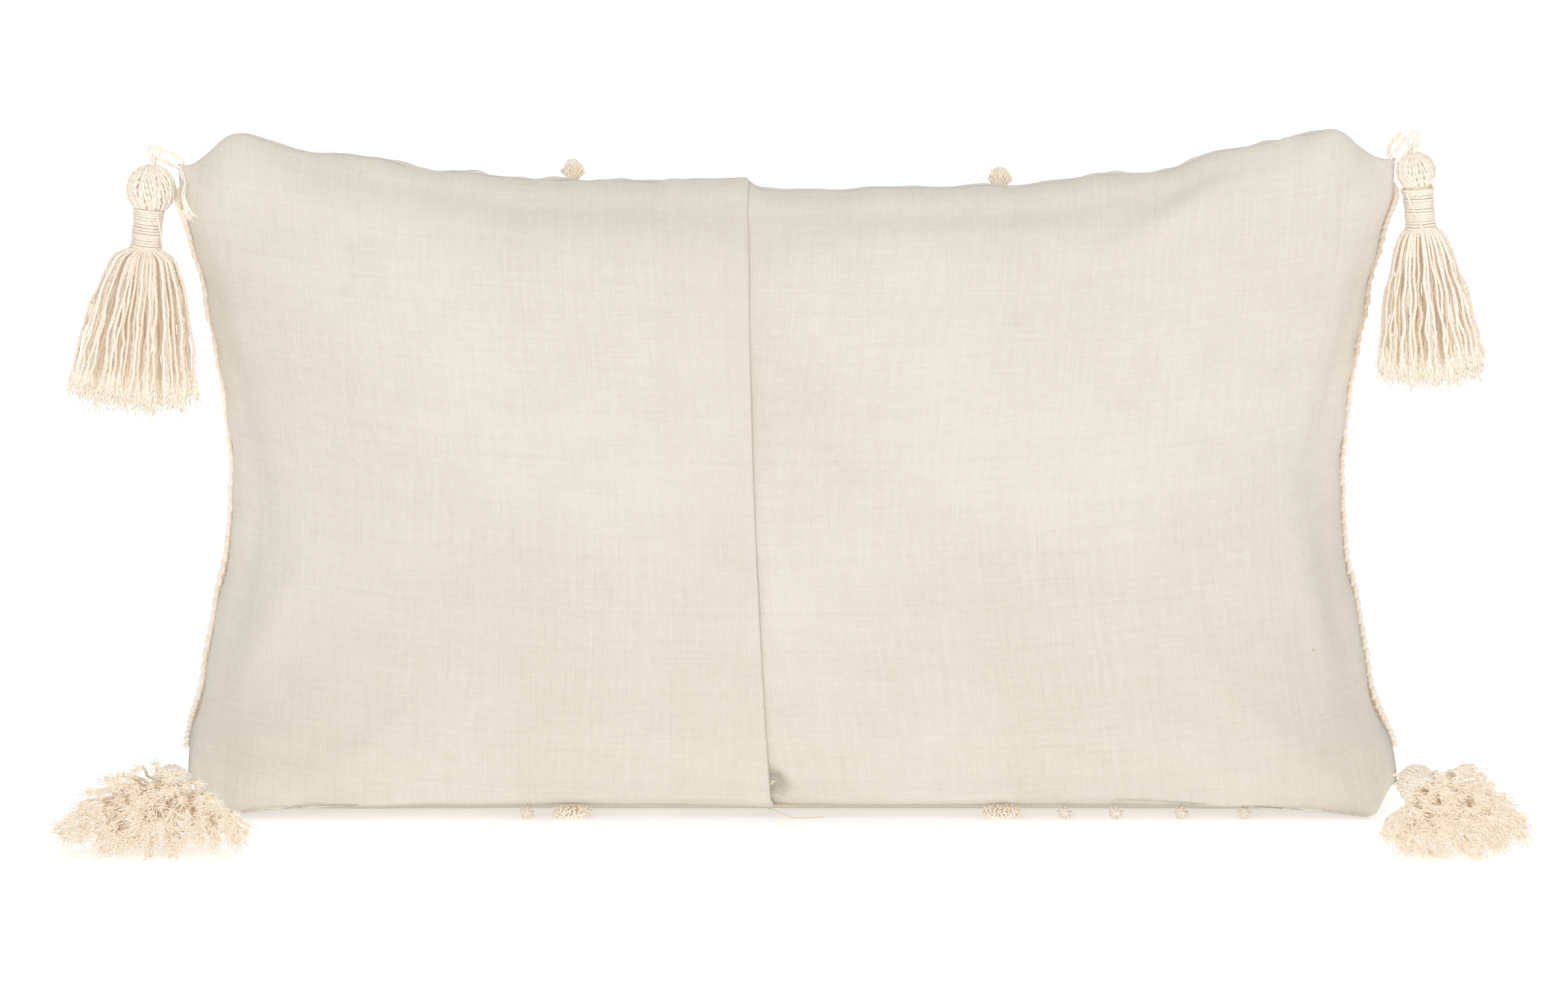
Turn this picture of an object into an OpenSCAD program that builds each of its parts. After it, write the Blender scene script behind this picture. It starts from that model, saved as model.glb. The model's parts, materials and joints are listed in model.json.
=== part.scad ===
// Lumbar throw pillow: an envelope cover of woven cotton over a filled insert,
// with a yarn tassel linked to each corner. It stands on its long edge.
// +X runs along the pillow, -Y is the side with the envelope flap, +Z is up,
// and Z = 0 is the surface that it stands on.

/* [Pillow] */
// Length between the corner tips
pillow_length = 596; // [450:1:700]
// Height at the middle of the long sides
pillow_height = 310; // [240:1:380]
// Thickness at the middle
pillow_thickness = 150; // [100:1:190]
// Roundness of the filled section, lower is boxier
crown = 0.45; // [0.4:0.01:0.55]
// How far each short side pulls in at its middle
side_pull = 25; // [5:1:40]
// How much higher the top edge runs towards the ears
ear_rise = 38; // [15:1:45]
// How far each upper corner tip falls back from its ear
corner_drop = 27; // [10:1:30]
// How far each lower corner tip rises from its ear
corner_lift = 36; // [20:1:40]
// How far the lower corner tips tuck in
corner_tuck = 5; // [0:1:10]
// Depth of filling that the base presses flat
base_sink = 16; // [8:1:20]
// How far forward the bottom seam rolls
seam_roll = 32; // [20:1:45]
// How much further forward the lower ears lie
ear_roll = 12; // [0:1:20]
// Height of the bottom seam above the surface, at the middle
foot_rise = 5.5; // [0:0.5:8]
// Slope of the cloth that curves in to the bottom seam
foot_slope = 0.22; // [0:0.01:0.3]

/* [Cover] */
// Thickness of the woven cloth
cloth = 1.2; // [0.8:0.1:1.6]
// Space between two plies of cloth
ply_gap = 0.1; // [0.1:0.1:0.3]
// Where the flap's free edge crosses the middle of the pillow
flap_edge = -16; // [-60:1:60]
// Sideways slant of the flap's edge from middle to top
flap_slant = 6.5; // [-10:0.5:10]
// Sideways bow of the flap's edge
flap_bow = 2.5; // [-5:0.5:5]
// How far the under panel runs on below the flap
envelope_overlap = 115; // [70:1:160]
// Width of the folded hems
hem_width = 43; // [20:1:55]
// Width of the overlocked seam allowance
seam_allowance = 7.5; // [5:0.5:9]
// Space between the seam line and its allowance
seam_start = 1.8; // [1.6:0.1:2.5]

/* [Front decoration] */
// Distance of each braid from the side seam
braid_inset = 5; // [4:1:20]
// Width of each braid
braid_width = 9; // [6:0.5:12]
// Height of each braid above the cloth
braid_height = 3; // [2:0.5:4]
// Distance of the large tuft columns from the middle
tuft_column = 105; // [60:1:150]
// Radius of a large cut tuft
tuft_r = 6; // [4:0.5:8]
// Radius of a small looped tuft
loop_r = 3; // [2:0.5:4]
// Rows of small loops between the large columns
loop_rows = 3; // [1:1:4]

/* [Insert] */
// Clearance between the innermost ply and the insert
insert_gap = 0.5; // [0.3:0.1:2]
// Distance between the cover's seam and the insert's seam
insert_edge = 14; // [13:1:20]
// Thickness of the insert's cloth
insert_cloth = 0.8; // [0.6:0.1:1.2]

/* [Tassels] */
// Thickness of the yarn that ties a tassel on
yarn = 1.8; // [1.4:0.1:2]
// Radius of a yarn eye, at the middle of its yarn
eye_r = 2.6; // [2.5:0.1:3]
// Free space between two yarns that are linked
link_gap = 0.4; // [0.3:0.1:0.6]
// Length of a tie loop, at the middle of its yarn
loop_length = 7.4; // [7:0.1:10]
// Depth of a corner stitch inside the cloth
stitch_depth = 3; // [2:0.5:4]
// Radius of the thread binding round each neck
neck_r = 8; // [7:0.5:9]
// Radius of the strands inside the binding
core_r = 6; // [4:0.5:6.5]
// Length of the binding
neck_length = 24; // [16:1:30]
// Length of the free strands
skirt_length = 68; // [40:1:90]
// Radius of the hem of the hanging skirt on the left
hem_r_left = 33; // [20:1:36]
// Radius of the hem of the hanging skirt on the right
hem_r_right = 28.5; // [20:1:36]
// Half width of the hem of the lying skirt on the left
fan_left = 47; // [20:1:55]
// Half width of the hem of the lying skirt on the right
fan_right = 35; // [20:1:55]
// Height of the hem of a lying skirt
fan_height = 40; // [24:1:44]
// How far the strands of a lying skirt reach from the neck
lying_reach = 50; // [30:1:70]
// Outward lean of the hanging tassels, in degrees
lean = 5.7; // [4:0.1:10]

/* [Hidden] */
$fn = 48;

// Colours
NATURAL = "#ebe4d6";
SHADED = "#ded6c8";
CREAM = "#f5e4cd";
CALICO = "#f2f0ea";
WADDING = "#fbfbf8";

// Sides of the pillow
FRONT = 1;
BACK = -1;

// Grid of the panels: cells along the pillow, cells up it
CELLS_U = 28;
CELLS_V = 16;
HEM_CELLS = 3;
INSERT_CELLS_U = 20;
INSERT_CELLS_V = 12;

// Half the space left along the seam
seam_gap = 0.1;
// How far behind the middle the pillow rests flat on the surface
foot_flat = 15;
// Where the ears begin to round off, as a share of the half length and of the half height
ear_start_u = 0.88;
ear_start_v = 0.6;
// How sharply the forward roll is kept to the bottom edge
roll_power = 8;

// Depths of the plies below the cover's outer face
hem_depth = cloth + ply_gap;
under_depth = 2 * hem_depth;
under_hem_depth = 3 * hem_depth;
insert_depth = 4 * hem_depth + insert_gap;
fill_depth = insert_depth + insert_cloth + ply_gap;

// Distances along a linked yarn
link_pitch = yarn + link_gap;
loop_drop = loop_length - link_pitch;
eye_drop = eye_r - link_pitch;
eye_bite = 2.2;

// One corner: [side of X, side of Z, anchor from the tip, head radius, hem half width,
// hem half depth, turn about X, about Y and about Z]
UPPER_LEFT = [-1, 1, [-11, 0, 3.3], 12, hem_r_left, hem_r_left, [0, lean, 0]];
UPPER_RIGHT = [1, 1, [8, 0, 9.8], 9.5, hem_r_right, hem_r_right, [0, -lean, 0]];
LOWER_LEFT = [-1, -1, [-5, -6, 2], 10, fan_left, fan_height / 2, [-90, 0, -2]];
LOWER_RIGHT = [1, -1, [10, -6, 2], 10, fan_right, fan_height / 2, [-90, 0, 10]];

function smooth(t) = let (c = min(1, max(0, t))) c * c * (3 - 2 * c);
function sign_of(x) = x < 0 ? -1 : 1;
function mix(a, b, t) = a + (b - a) * t;
function unit(a) = a / norm(a);

// Share of the full thickness at a place on the pillow
function bulge(u, v) = pow(max(0, (1 - u * u) * (1 - v * v)), crown);

// 1 at a corner tip, 0 away from the ears
function ear(u, v) =
    smooth((abs(u) - ear_start_u) / (1 - ear_start_u))
    * smooth((abs(v) - ear_start_v) / (1 - ear_start_v));

// Height of the seam line at the top, and the height that the lowest cloth would reach unpressed
function seam_top(u) = pillow_height + ear_rise * pow(abs(u), 3);
seam_low = -base_sink;

// Forward place of the seam plane at a height
function roll(u, height) =
    -(seam_roll + ear_roll * pow(u, 4))
    * pow((seam_top(u) - height) / (seam_top(u) - seam_low), roll_power);

// Height of the cloth above the surface where it curves in to the bottom seam
function foot(u, y) =
    (1 - pow(u, 6))
    * (foot_rise * smooth((-y - foot_flat) / (seam_roll - foot_flat)) + foot_slope * max(0, -y - seam_roll));

// Half the pillow's length at a height
function half_length(v, edge) = pillow_length / 2 - edge - side_pull * (1 - smooth(abs(v)));

// A point of the pillow. u and v run from -1 to 1 along and up it, side is FRONT or BACK,
// depth is how far inside the outer face, edge how far inside the seam line,
// and rest the height of the lowest cloth above the base.
function skin(u, v, side, depth = 0, edge = 0, rest = 0) =
    let (
        tip = ear(u, v),
        height = mix(seam_low + edge, seam_top(u) - edge, (v + 1) / 2),
        outer_y = roll(u, mix(seam_low, seam_top(u), (v + 1) / 2))
            + side * (seam_gap + pillow_thickness / 2 * bulge(u, v)),
        fall = v > 0 ? corner_drop : -corner_lift,
        tuck = v < 0 ? corner_tuck * tip * sign_of(u) : 0
    )
    [
        u * half_length(v, edge) - tuck,
        roll(u, height) + side * (seam_gap + (pillow_thickness / 2 - depth) * bulge(u, v)),
        max(height - fall * tip, rest + foot(u, outer_y))
    ];

function outward(u, v, side) =
    let (
        s = 0.01,
        along = skin(u + s, v, side) - skin(u - s, v, side),
        up = skin(u, v + s, side) - skin(u, v - s, side)
    )
    side * unit(cross(up, along));

// Evenly bent spacing: close steps at both ends, or at the start only
function both_ends(n) = [for (i = [0:n]) sin(180 * i / n - 90)];
function from_start(n) = [for (i = [0:n]) 1 - cos(90 * i / n)];
function row_heights(n) = both_ends(n);

function u_at(x, v) = x / half_length(v, 0);
function flap_x(v) = flap_edge - flap_slant * v + flap_bow * v * v;

// A closed shell between an outer and an inner grid of points
module shell(outer, inner, nu, nv, side) {
    n = len(outer);
    function at(i, j) = i * (nv + 1) + j;
    cells = [for (i = [0:nu - 1], j = [0:nv - 1]) [at(i, j), at(i, j + 1), at(i + 1, j + 1), at(i + 1, j)]];
    rims = concat(
        [for (i = [0:nu - 1]) [at(i, 0), at(i + 1, 0)]],
        [for (j = [0:nv - 1]) [at(0, j + 1), at(0, j)]],
        [for (i = [0:nu - 1]) [at(i + 1, nv), at(i, nv)]],
        [for (j = [0:nv - 1]) [at(nu, j), at(nu, j + 1)]]
    );
    faces = concat(
        [for (c = cells) each [[c[0], c[1], c[2]], [c[0], c[2], c[3]]]],
        [for (c = cells) each [[c[0] + n, c[2] + n, c[1] + n], [c[0] + n, c[3] + n, c[2] + n]]],
        [for (r = rims) each [[r[0], r[1], r[1] + n], [r[0], r[1] + n, r[0] + n]]]
    );
    turned = [for (f = faces) [f[0], f[2], f[1]]];
    // A back shell is laid out as a front one and mirrored to its place
    points = [for (p = concat(outer, inner)) [p[0], side * p[1], p[2]]];
    if (side == FRONT) polyhedron(points, turned);
    else mirror([0, 1, 0]) polyhedron(points, turned);
}

// A closed solid through a row of rings, each a list of points in the same order
module sweep(rings) {
    m = len(rings[0]);
    n = len(rings);
    sides = [
        for (i = [0:n - 2], j = [0:m - 1])
            let (k = (j + 1) % m)
            each [
                [i * m + j, i * m + k, (i + 1) * m + k],
                [i * m + j, (i + 1) * m + k, (i + 1) * m + j]
            ]
    ];
    caps = [
        for (j = [1:m - 2])
            each [[0, j + 1, j], [(n - 1) * m, (n - 1) * m + j, (n - 1) * m + j + 1]]
    ];
    faces = concat(sides, caps);
    facing = cross(rings[0][1] - rings[0][0], rings[0][2] - rings[0][0]) * (rings[1][0] - rings[0][0]);
    polyhedron(
        [for (r = rings) each r],
        [for (f = faces) facing > 0 ? [f[0], f[2], f[1]] : f]
    );
}

// A panel of cloth. columns(v) gives the u of each column, and depth and edge its ply.
module cloth_panel(columns, nv, side, thick, depth, edge) {
    rows = row_heights(nv);
    nu = len(columns(0)) - 1;
    function grid(more) = [
        for (i = [0:nu], v = rows)
            let (u = columns(v)[i])
            skin(u, v, side, depth + more, edge(u, v) + more, edge(u, v) + more)
    ];
    shell(grid(0), grid(thick), nu, nv, side);
}

function whole_columns(v) = both_ends(CELLS_U);
function flap_columns(v) =
    let (hem = u_at(flap_x(v) - hem_width, v), free = u_at(flap_x(v), v))
    concat(
        [for (t = from_start(12)) mix(-1, hem, t)],
        [for (i = [1:HEM_CELLS]) mix(hem, free, i / HEM_CELLS)]
    );
function flap_hem_columns(v) =
    [for (i = [0:HEM_CELLS]) u_at(flap_x(v) - hem_width * (1 - i / HEM_CELLS), v)];
function under_start(v) = u_at(flap_x(v) - envelope_overlap, v);
function under_hem_end(v) = u_at(flap_x(v) - envelope_overlap + hem_width, v);
function under_hem_columns(v) =
    [for (i = [0:HEM_CELLS]) mix(under_start(v), under_hem_end(v), i / HEM_CELLS)];
// Columns stand at the flap's free edge and a hem's width beyond it, where the under panel's edge changes
function under_columns(v) =
    let (
        n = 9,
        rest = [for (t = from_start(n)) 1 - t],
        free = u_at(flap_x(v), v),
        clear = u_at(flap_x(v) + hem_width, v)
    )
    concat(
        under_hem_columns(v),
        [for (i = [1:HEM_CELLS]) mix(under_hem_end(v), free, i / HEM_CELLS)],
        [for (i = [1:HEM_CELLS]) mix(free, clear, i / HEM_CELLS)],
        [for (i = [n - 1:-1:0]) mix(clear, 1, rest[i])]
    );
// The under panel lies inside the flap's plies, and comes out to the seam line beyond them
function under_edge(u, v) =
    under_depth * (1 - smooth((u - u_at(flap_x(v), v)) * pillow_length / 2 / hem_width));

module front_panel() {
    color(NATURAL)
        cloth_panel(function(v) whole_columns(v), CELLS_V, FRONT, cloth, 0, function(u, v) 0);
}

module back_flap_panel() {
    color(NATURAL)
        cloth_panel(function(v) flap_columns(v), CELLS_V, BACK, cloth, 0, function(u, v) 0);
}

module flap_hem() {
    color(NATURAL)
        cloth_panel(function(v) flap_hem_columns(v), CELLS_V, BACK, cloth, hem_depth,
            function(u, v) hem_depth);
}

module back_under_panel() {
    color(SHADED)
        cloth_panel(function(v) under_columns(v), CELLS_V, BACK, cloth, under_depth,
            function(u, v) under_edge(u, v));
}

module under_panel_hem() {
    color(SHADED)
        cloth_panel(function(v) under_hem_columns(v), CELLS_V, BACK, cloth, under_hem_depth,
            function(u, v) under_hem_depth);
}

// One stretch of seam allowance, between two places along the seam
module allowance(from, to, steps, place) {
    t = 0.9;
    far = seam_start + seam_allowance;
    sweep([
        for (i = [0:steps])
            let (
                w = mix(from, to, i / steps),
                a = place(w, seam_start),
                b = place(w, far),
                y = [0, t, 0]
            )
            [a - y, a + y, b + y, b - y]
    ]);
}

// The allowance at the bottom lies forward of the seam, over the cloth that the pillow stands on
module flat_allowance(from, to, steps) {
    low = cloth + ply_gap;
    sweep([
        for (i = [0:steps])
            let (
                u = mix(from, to, i / steps),
                p = skin(u, -1, FRONT),
                z = [0, seam_start, low],
                y = [0, seam_allowance, 0],
                t = [0, 0, 1.8]
            )
            [p + z + y, p + z, p + z + t, p + z + t + y]
    ]);
}

module overlocked_seams() {
    reach = 0.86;
    left_end = -0.55;
    right_end = 0.12;
    top = function(u, e) skin(u, 1, BACK, e, e) + [0, seam_gap, 0];
    color(CREAM) {
        allowance(-reach, left_end, 6, top);
        allowance(right_end, reach, 10, top);
        allowance(reach, -reach, 16, function(v, e) skin(-1, v, BACK, e, e) + [0, seam_gap, 0]);
        allowance(-reach, reach, 16, function(v, e) skin(1, v, BACK, e, e) + [0, seam_gap, 0]);
        flat_allowance(-reach, left_end, 6);
        flat_allowance(right_end, reach, 10);
    }
}

// A raised braid that follows the front from top to bottom
module braid(side_x) {
    steps = 20;
    span = 0.84;
    sweep([
        for (i = [0:steps])
            let (
                v = mix(-span, span, i / steps),
                u = side_x * (1 - braid_inset / (pillow_length / 2)),
                p = skin(u, v, FRONT),
                n = outward(u, v, FRONT),
                up = unit(skin(u, v + 0.01, FRONT) - skin(u, v - 0.01, FRONT)),
                across = unit(cross(n, up)),
                w = across * braid_width / 2
            )
            [
                p + n * ply_gap * 3 + w,
                p + n * braid_height + w * 0.6,
                p + n * braid_height - w * 0.6,
                p + n * ply_gap * 3 - w
            ]
    ]);
}

module left_braid() { color(CREAM) braid(-1); }
module right_braid() { color(CREAM) braid(1); }

// A ball of yarn that stands on the front cloth
module tuft(x, v, r) {
    u = u_at(x, v);
    p = skin(u, v, FRONT) + outward(u, v, FRONT) * (r + ply_gap);
    translate([p[0], p[1], max(p[2], r)]) sphere(r);
}

// A flattened tuft that peeps out under the bottom seam on the flap side
module foot_tuft(x) {
    r = 0.5 * foot_rise;
    translate([x, -seam_roll - 10, r + ply_gap]) scale([3, 1.2, 1]) sphere(r);
}

module cut_tufts(side_x) {
    color(CREAM) {
        for (v = [-0.84, -0.6, -0.36, -0.12, 0.12, 0.36, 0.6, 0.84, 0.985])
            tuft(side_x * tuft_column, v, tuft_r);
        foot_tuft(side_x * tuft_column);
    }
}

module cut_tufts_left() { cut_tufts(-1); }
module cut_tufts_right() { cut_tufts(1); }

module loop_tufts() {
    pitch = 6 * loop_r;
    reach = tuft_column - 3 * tuft_r;
    n = floor(reach / pitch);
    color(CREAM)
        for (k = [0:loop_rows - 1], i = [-n:n])
            tuft(i * pitch, loop_rows == 1 ? 0 : mix(-0.6, 0.6, k / (loop_rows - 1)), loop_r);
}

// Low ridges of looped yarn across the front between each column and its braid
module loop_band(from, to, v) {
    steps = 10;
    sweep([
        for (i = [0:steps])
            let (
                u = mix(from, to, i / steps),
                p = skin(u, v, FRONT),
                n = outward(u, v, FRONT),
                w = unit(skin(u, v + 0.01, FRONT) - skin(u, v - 0.01, FRONT)) * loop_r
            )
            [p + n * ply_gap * 4 + w, p + n * ply_gap * 4 - w, p + n * loop_r - w / 2, p + n * loop_r + w / 2]
    ]);
}

module loop_bands() {
    first = (tuft_column + 3 * tuft_r) / (pillow_length / 2);
    last = 1 - (braid_inset + 3 * braid_width) / (pillow_length / 2);
    color(CREAM)
        for (v = [-0.7, -0.24, 0.24, 0.7]) {
            loop_band(first, last, v);
            loop_band(-last, -first, v);
        }
}

// The insert's own cover and filling
function insert_columns(v) = both_ends(INSERT_CELLS_U);

function insert_grid(side, depth, edge) = [
    for (u = both_ends(INSERT_CELLS_U), v = row_heights(INSERT_CELLS_V))
        skin(u, v, side, depth, edge, depth)
];

module insert_half(side) {
    outer = insert_grid(side, insert_depth, insert_edge);
    inner = insert_grid(side, insert_depth + insert_cloth, insert_edge + insert_cloth);
    shell(outer, inner, INSERT_CELLS_U, INSERT_CELLS_V, side);
}

module insert_front_cloth() { color(CALICO) insert_half(FRONT); }
module insert_back_cloth() { color(CALICO) insert_half(BACK); }

module insert_filling() {
    edge = insert_edge + insert_cloth + ply_gap;
    color(WADDING)
        shell(
            insert_grid(BACK, fill_depth, edge),
            insert_grid(FRONT, fill_depth, edge),
            INSERT_CELLS_U, INSERT_CELLS_V, BACK
        );
}

// Corner places
function tip(c) = skin(c[0], c[1], FRONT) - [0, seam_gap, 0];
function anchor(c) = tip(c) + c[2];

// A closed loop of yarn in the XY plane, from x = 0 to x = size
module yarn_loop(size) {
    for (end = [0, 1])
        translate([end == 0 ? eye_r : size - eye_r, 0, 0])
            rotate([0, 0, end == 0 ? 90 : -90])
                rotate_extrude(angle = 180)
                    translate([eye_r, 0]) circle(d = yarn);
    if (size > 2 * eye_r)
        for (y = [-eye_r, eye_r])
            translate([eye_r, y, 0]) rotate([0, 90, 0]) cylinder(d = yarn, h = size - 2 * eye_r);
}

module yarn_ring() {
    rotate_extrude() translate([eye_r, 0]) circle(d = yarn);
}

// The stitch that holds a tassel's tie to the corner of the cover
module corner_stitch(c) {
    way = unit(c[2]);
    flat = norm([way[0], way[1]]);
    start = tip(c) - way * stitch_depth;
    heading = atan2(way[1], way[0]);
    rise = atan2(way[2], flat);
    color(CREAM)
        translate(start)
            rotate([0, 0, heading])
                rotate([0, -rise, 0])
                    rotate([c[1] < 0 ? 90 : 0, 0, 0])
                        yarn_loop(norm(c[2]) + stitch_depth);
}

// Everything of a tassel is drawn hanging down from the stitch at its anchor
module hang(c) {
    translate(anchor(c)) rotate(c[6]) children();
}

module tie_loop(c) {
    color(CREAM)
        hang(c)
            translate([0, 0, link_pitch])
                rotate([90, 0, 0])
                    rotate([0, 0, -90])
                        yarn_loop(loop_length);
}

module tassel_eye(c) {
    color(CREAM)
        hang(c)
            translate([0, 0, -loop_drop - eye_drop])
                rotate([0, 90, 0])
                    yarn_ring();
}

function head_z(c) = -loop_drop - eye_bite - c[3];
function neck_z(c) = head_z(c) - 0.72 * c[3];

module tassel_head(c) {
    r = c[3];
    color(CREAM)
        hang(c)
            translate([0, 0, head_z(c)])
                difference() {
                    sphere(r);
                    translate([-r, -r, -2 * r]) cube([2 * r, 2 * r, 1.28 * r]);
                }
}

module neck_binding(c) {
    color(CREAM)
        hang(c)
            translate([0, 0, neck_z(c) - neck_length])
                difference() {
                    cylinder(r = neck_r, h = neck_length);
                    translate([0, 0, -1]) cylinder(r = core_r + ply_gap, h = neck_length + 2);
                }
}

// Share of the way from neck to hem, fuller near the neck
function flare(t) = pow(t, 0.56);

module round_skirt(c) {
    steps = 8;
    bell = [
        for (i = [0:steps])
            [mix(neck_r, c[4], flare(i / steps)), -neck_length - skirt_length * i / steps]
    ];
    rotate_extrude()
        polygon(concat([[0, 0], [core_r, 0], [core_r, -neck_length]], bell,
            [[0, -neck_length - skirt_length]]));
}

module fanned_skirt(c) {
    steps = 8;
    sides = 20;
    low = anchor(c)[2] - c[5] - 4 * ply_gap;
    function ring(a, b, z, down) =
        [for (k = [0:sides - 1]) [a * cos(360 * k / sides), b * sin(360 * k / sides) + down, z]];
    sweep(concat(
        [for (i = [steps:-1:0])
            let (t = i / steps)
            ring(mix(neck_r, c[4], pow(t, 0.8)), mix(neck_r, c[5], t), -neck_length - lying_reach * t, low * t)],
        [ring(core_r, core_r, -neck_length, 0), ring(core_r, core_r, 0, 0)]
    ));
}

module tassel_skirt(c) {
    color(CREAM)
        hang(c)
            translate([0, 0, neck_z(c)])
                if (c[1] > 0) round_skirt(c); else fanned_skirt(c);
}

// The loose end of the tie, lying by the corner
module tie_tail(c, from, to) {
    a = tip(c) + from;
    way = to - from;
    color(CREAM)
        translate(a)
            rotate([0, acos(way[2] / norm(way)), atan2(way[1], way[0])])
                cylinder(d = yarn, h = norm(way));
}

front_panel();
back_flap_panel();
back_under_panel();
flap_hem();
under_panel_hem();
overlocked_seams();
left_braid();
right_braid();
cut_tufts_left();
cut_tufts_right();
loop_tufts();
loop_bands();
insert_front_cloth();
insert_back_cloth();
insert_filling();
corner_stitch(UPPER_LEFT);  // corner_stitch_upper_left
corner_stitch(UPPER_RIGHT);  // corner_stitch_upper_right
corner_stitch(LOWER_LEFT);  // corner_stitch_lower_left
corner_stitch(LOWER_RIGHT);  // corner_stitch_lower_right
tie_tail(UPPER_LEFT, [4, -6, -3], [10, -14, -24]);  // tie_tail_upper_left
tie_tail(UPPER_RIGHT, [-2, 5, 4], [9, 7, 10]);  // tie_tail_upper_right
tie_loop(UPPER_LEFT);  // tie_loop_upper_left
tie_loop(UPPER_RIGHT);  // tie_loop_upper_right
tie_loop(LOWER_LEFT);  // tie_loop_lower_left
tie_loop(LOWER_RIGHT);  // tie_loop_lower_right
tassel_eye(UPPER_LEFT);  // tassel_eye_upper_left
tassel_eye(UPPER_RIGHT);  // tassel_eye_upper_right
tassel_eye(LOWER_LEFT);  // tassel_eye_lower_left
tassel_eye(LOWER_RIGHT);  // tassel_eye_lower_right
tassel_head(UPPER_LEFT);  // tassel_head_upper_left
tassel_head(UPPER_RIGHT);  // tassel_head_upper_right
tassel_head(LOWER_LEFT);  // tassel_head_lower_left
tassel_head(LOWER_RIGHT);  // tassel_head_lower_right
neck_binding(UPPER_LEFT);  // neck_binding_upper_left
neck_binding(UPPER_RIGHT);  // neck_binding_upper_right
neck_binding(LOWER_LEFT);  // neck_binding_lower_left
neck_binding(LOWER_RIGHT);  // neck_binding_lower_right
tassel_skirt(UPPER_LEFT);  // tassel_skirt_upper_left
tassel_skirt(UPPER_RIGHT);  // tassel_skirt_upper_right
tassel_skirt(LOWER_LEFT);  // tassel_skirt_lower_left
tassel_skirt(LOWER_RIGHT);  // tassel_skirt_lower_right
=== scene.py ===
"""Looks of a lumbar throw pillow with four yarn tassels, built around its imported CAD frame.

The pillow stands on its long edge. +X runs along it, -Y is the side with the envelope flap,
+Z is up, and every length is in metres.
"""

from __future__ import annotations

import json
import logging
import math
from dataclasses import dataclass, field
from enum import Enum

import bpy
import numpy as np
from mathutils import Euler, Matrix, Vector

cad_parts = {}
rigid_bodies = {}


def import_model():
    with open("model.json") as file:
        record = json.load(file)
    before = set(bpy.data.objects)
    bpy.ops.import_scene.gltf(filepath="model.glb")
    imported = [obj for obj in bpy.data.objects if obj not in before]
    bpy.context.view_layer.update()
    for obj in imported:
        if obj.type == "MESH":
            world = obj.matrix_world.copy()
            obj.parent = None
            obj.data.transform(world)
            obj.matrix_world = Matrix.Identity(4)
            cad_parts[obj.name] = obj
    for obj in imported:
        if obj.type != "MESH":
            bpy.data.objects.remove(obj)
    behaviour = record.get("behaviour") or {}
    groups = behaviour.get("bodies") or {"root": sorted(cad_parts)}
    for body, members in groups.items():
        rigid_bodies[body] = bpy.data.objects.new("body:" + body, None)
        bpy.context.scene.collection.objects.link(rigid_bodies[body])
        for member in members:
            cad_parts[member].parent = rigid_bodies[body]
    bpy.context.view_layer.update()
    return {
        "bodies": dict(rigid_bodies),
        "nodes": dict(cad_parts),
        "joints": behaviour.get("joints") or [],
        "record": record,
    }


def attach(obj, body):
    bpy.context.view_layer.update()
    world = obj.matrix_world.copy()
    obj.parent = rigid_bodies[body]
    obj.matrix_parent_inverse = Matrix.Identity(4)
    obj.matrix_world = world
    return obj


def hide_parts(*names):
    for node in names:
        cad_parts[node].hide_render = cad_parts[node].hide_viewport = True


LOG = logging.getLogger("pillow")
MM = 0.001
HALF_LENGTH = 0.298  # half the cover's length
HALF_RISE = 0.163  # half the way from the bottom seam to the top seam
CUT_HEIGHT = 0.356  # height of every cover panel as cut
GOLDEN_TURN = 2.39996  # turn between neighbours in an even round bundle
Array = np.ndarray


class Side(Enum):
    """Which face of the pillow a panel covers."""

    FRONT = 1
    BACK = -1


class Slot(Enum):
    """Material slots of the record."""

    COTTON = "woven_cotton"
    YARN = "tassel_yarn"
    THREAD = "seam_thread"
    LINING = "insert_cloth"
    WADDING = "wadding"


# ---------------------------------------------------------------- shader layer


class Value:
    """A shader socket that can be used in arithmetic."""

    def __init__(self, shader: Shader, socket: bpy.types.NodeSocket) -> None:
        """Keeps the socket and the shader that it belongs to."""
        self.shader = shader
        self.socket = socket

    def _math(self, operation: str, *others: Value | float) -> Value:
        """A Math node that starts with this value."""
        return self.shader.math(operation, self, *others)

    def __add__(self, other: Value | float) -> Value:
        """The sum."""
        return self._math("ADD", other)

    __radd__ = __add__

    def __sub__(self, other: Value | float) -> Value:
        """The difference."""
        return self._math("SUBTRACT", other)

    def __rsub__(self, other: Value | float) -> Value:
        """The difference from another value."""
        return self.shader.math("SUBTRACT", other, self)

    def __mul__(self, other: Value | float) -> Value:
        """The product."""
        return self._math("MULTIPLY", other)

    __rmul__ = __mul__

    def __truediv__(self, other: Value | float) -> Value:
        """The quotient."""
        return self._math("DIVIDE", other)

    def __rtruediv__(self, other: Value | float) -> Value:
        """Another value divided by this one."""
        return self.shader.math("DIVIDE", other, self)

    def __pow__(self, other: Value | float) -> Value:
        """The power."""
        return self._math("POWER", other)

    def __abs__(self) -> Value:
        """The size without the sign."""
        return self._math("ABSOLUTE")

    def sine(self) -> Value:
        """Sine of the value, in radians."""
        return self._math("SINE")

    def floor(self) -> Value:
        """Whole part of the value."""
        return self._math("FLOOR")

    def sign(self) -> Value:
        """-1, 0 or 1."""
        return self._math("SIGN")

    def most(self, other: Value | float) -> Value:
        """The larger of two values."""
        return self._math("MAXIMUM", other)

    def above(self, low: float, high: float) -> Value:
        """A smooth step from 0 at low to 1 at high."""
        return self.shader.step(self, low, high)


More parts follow.
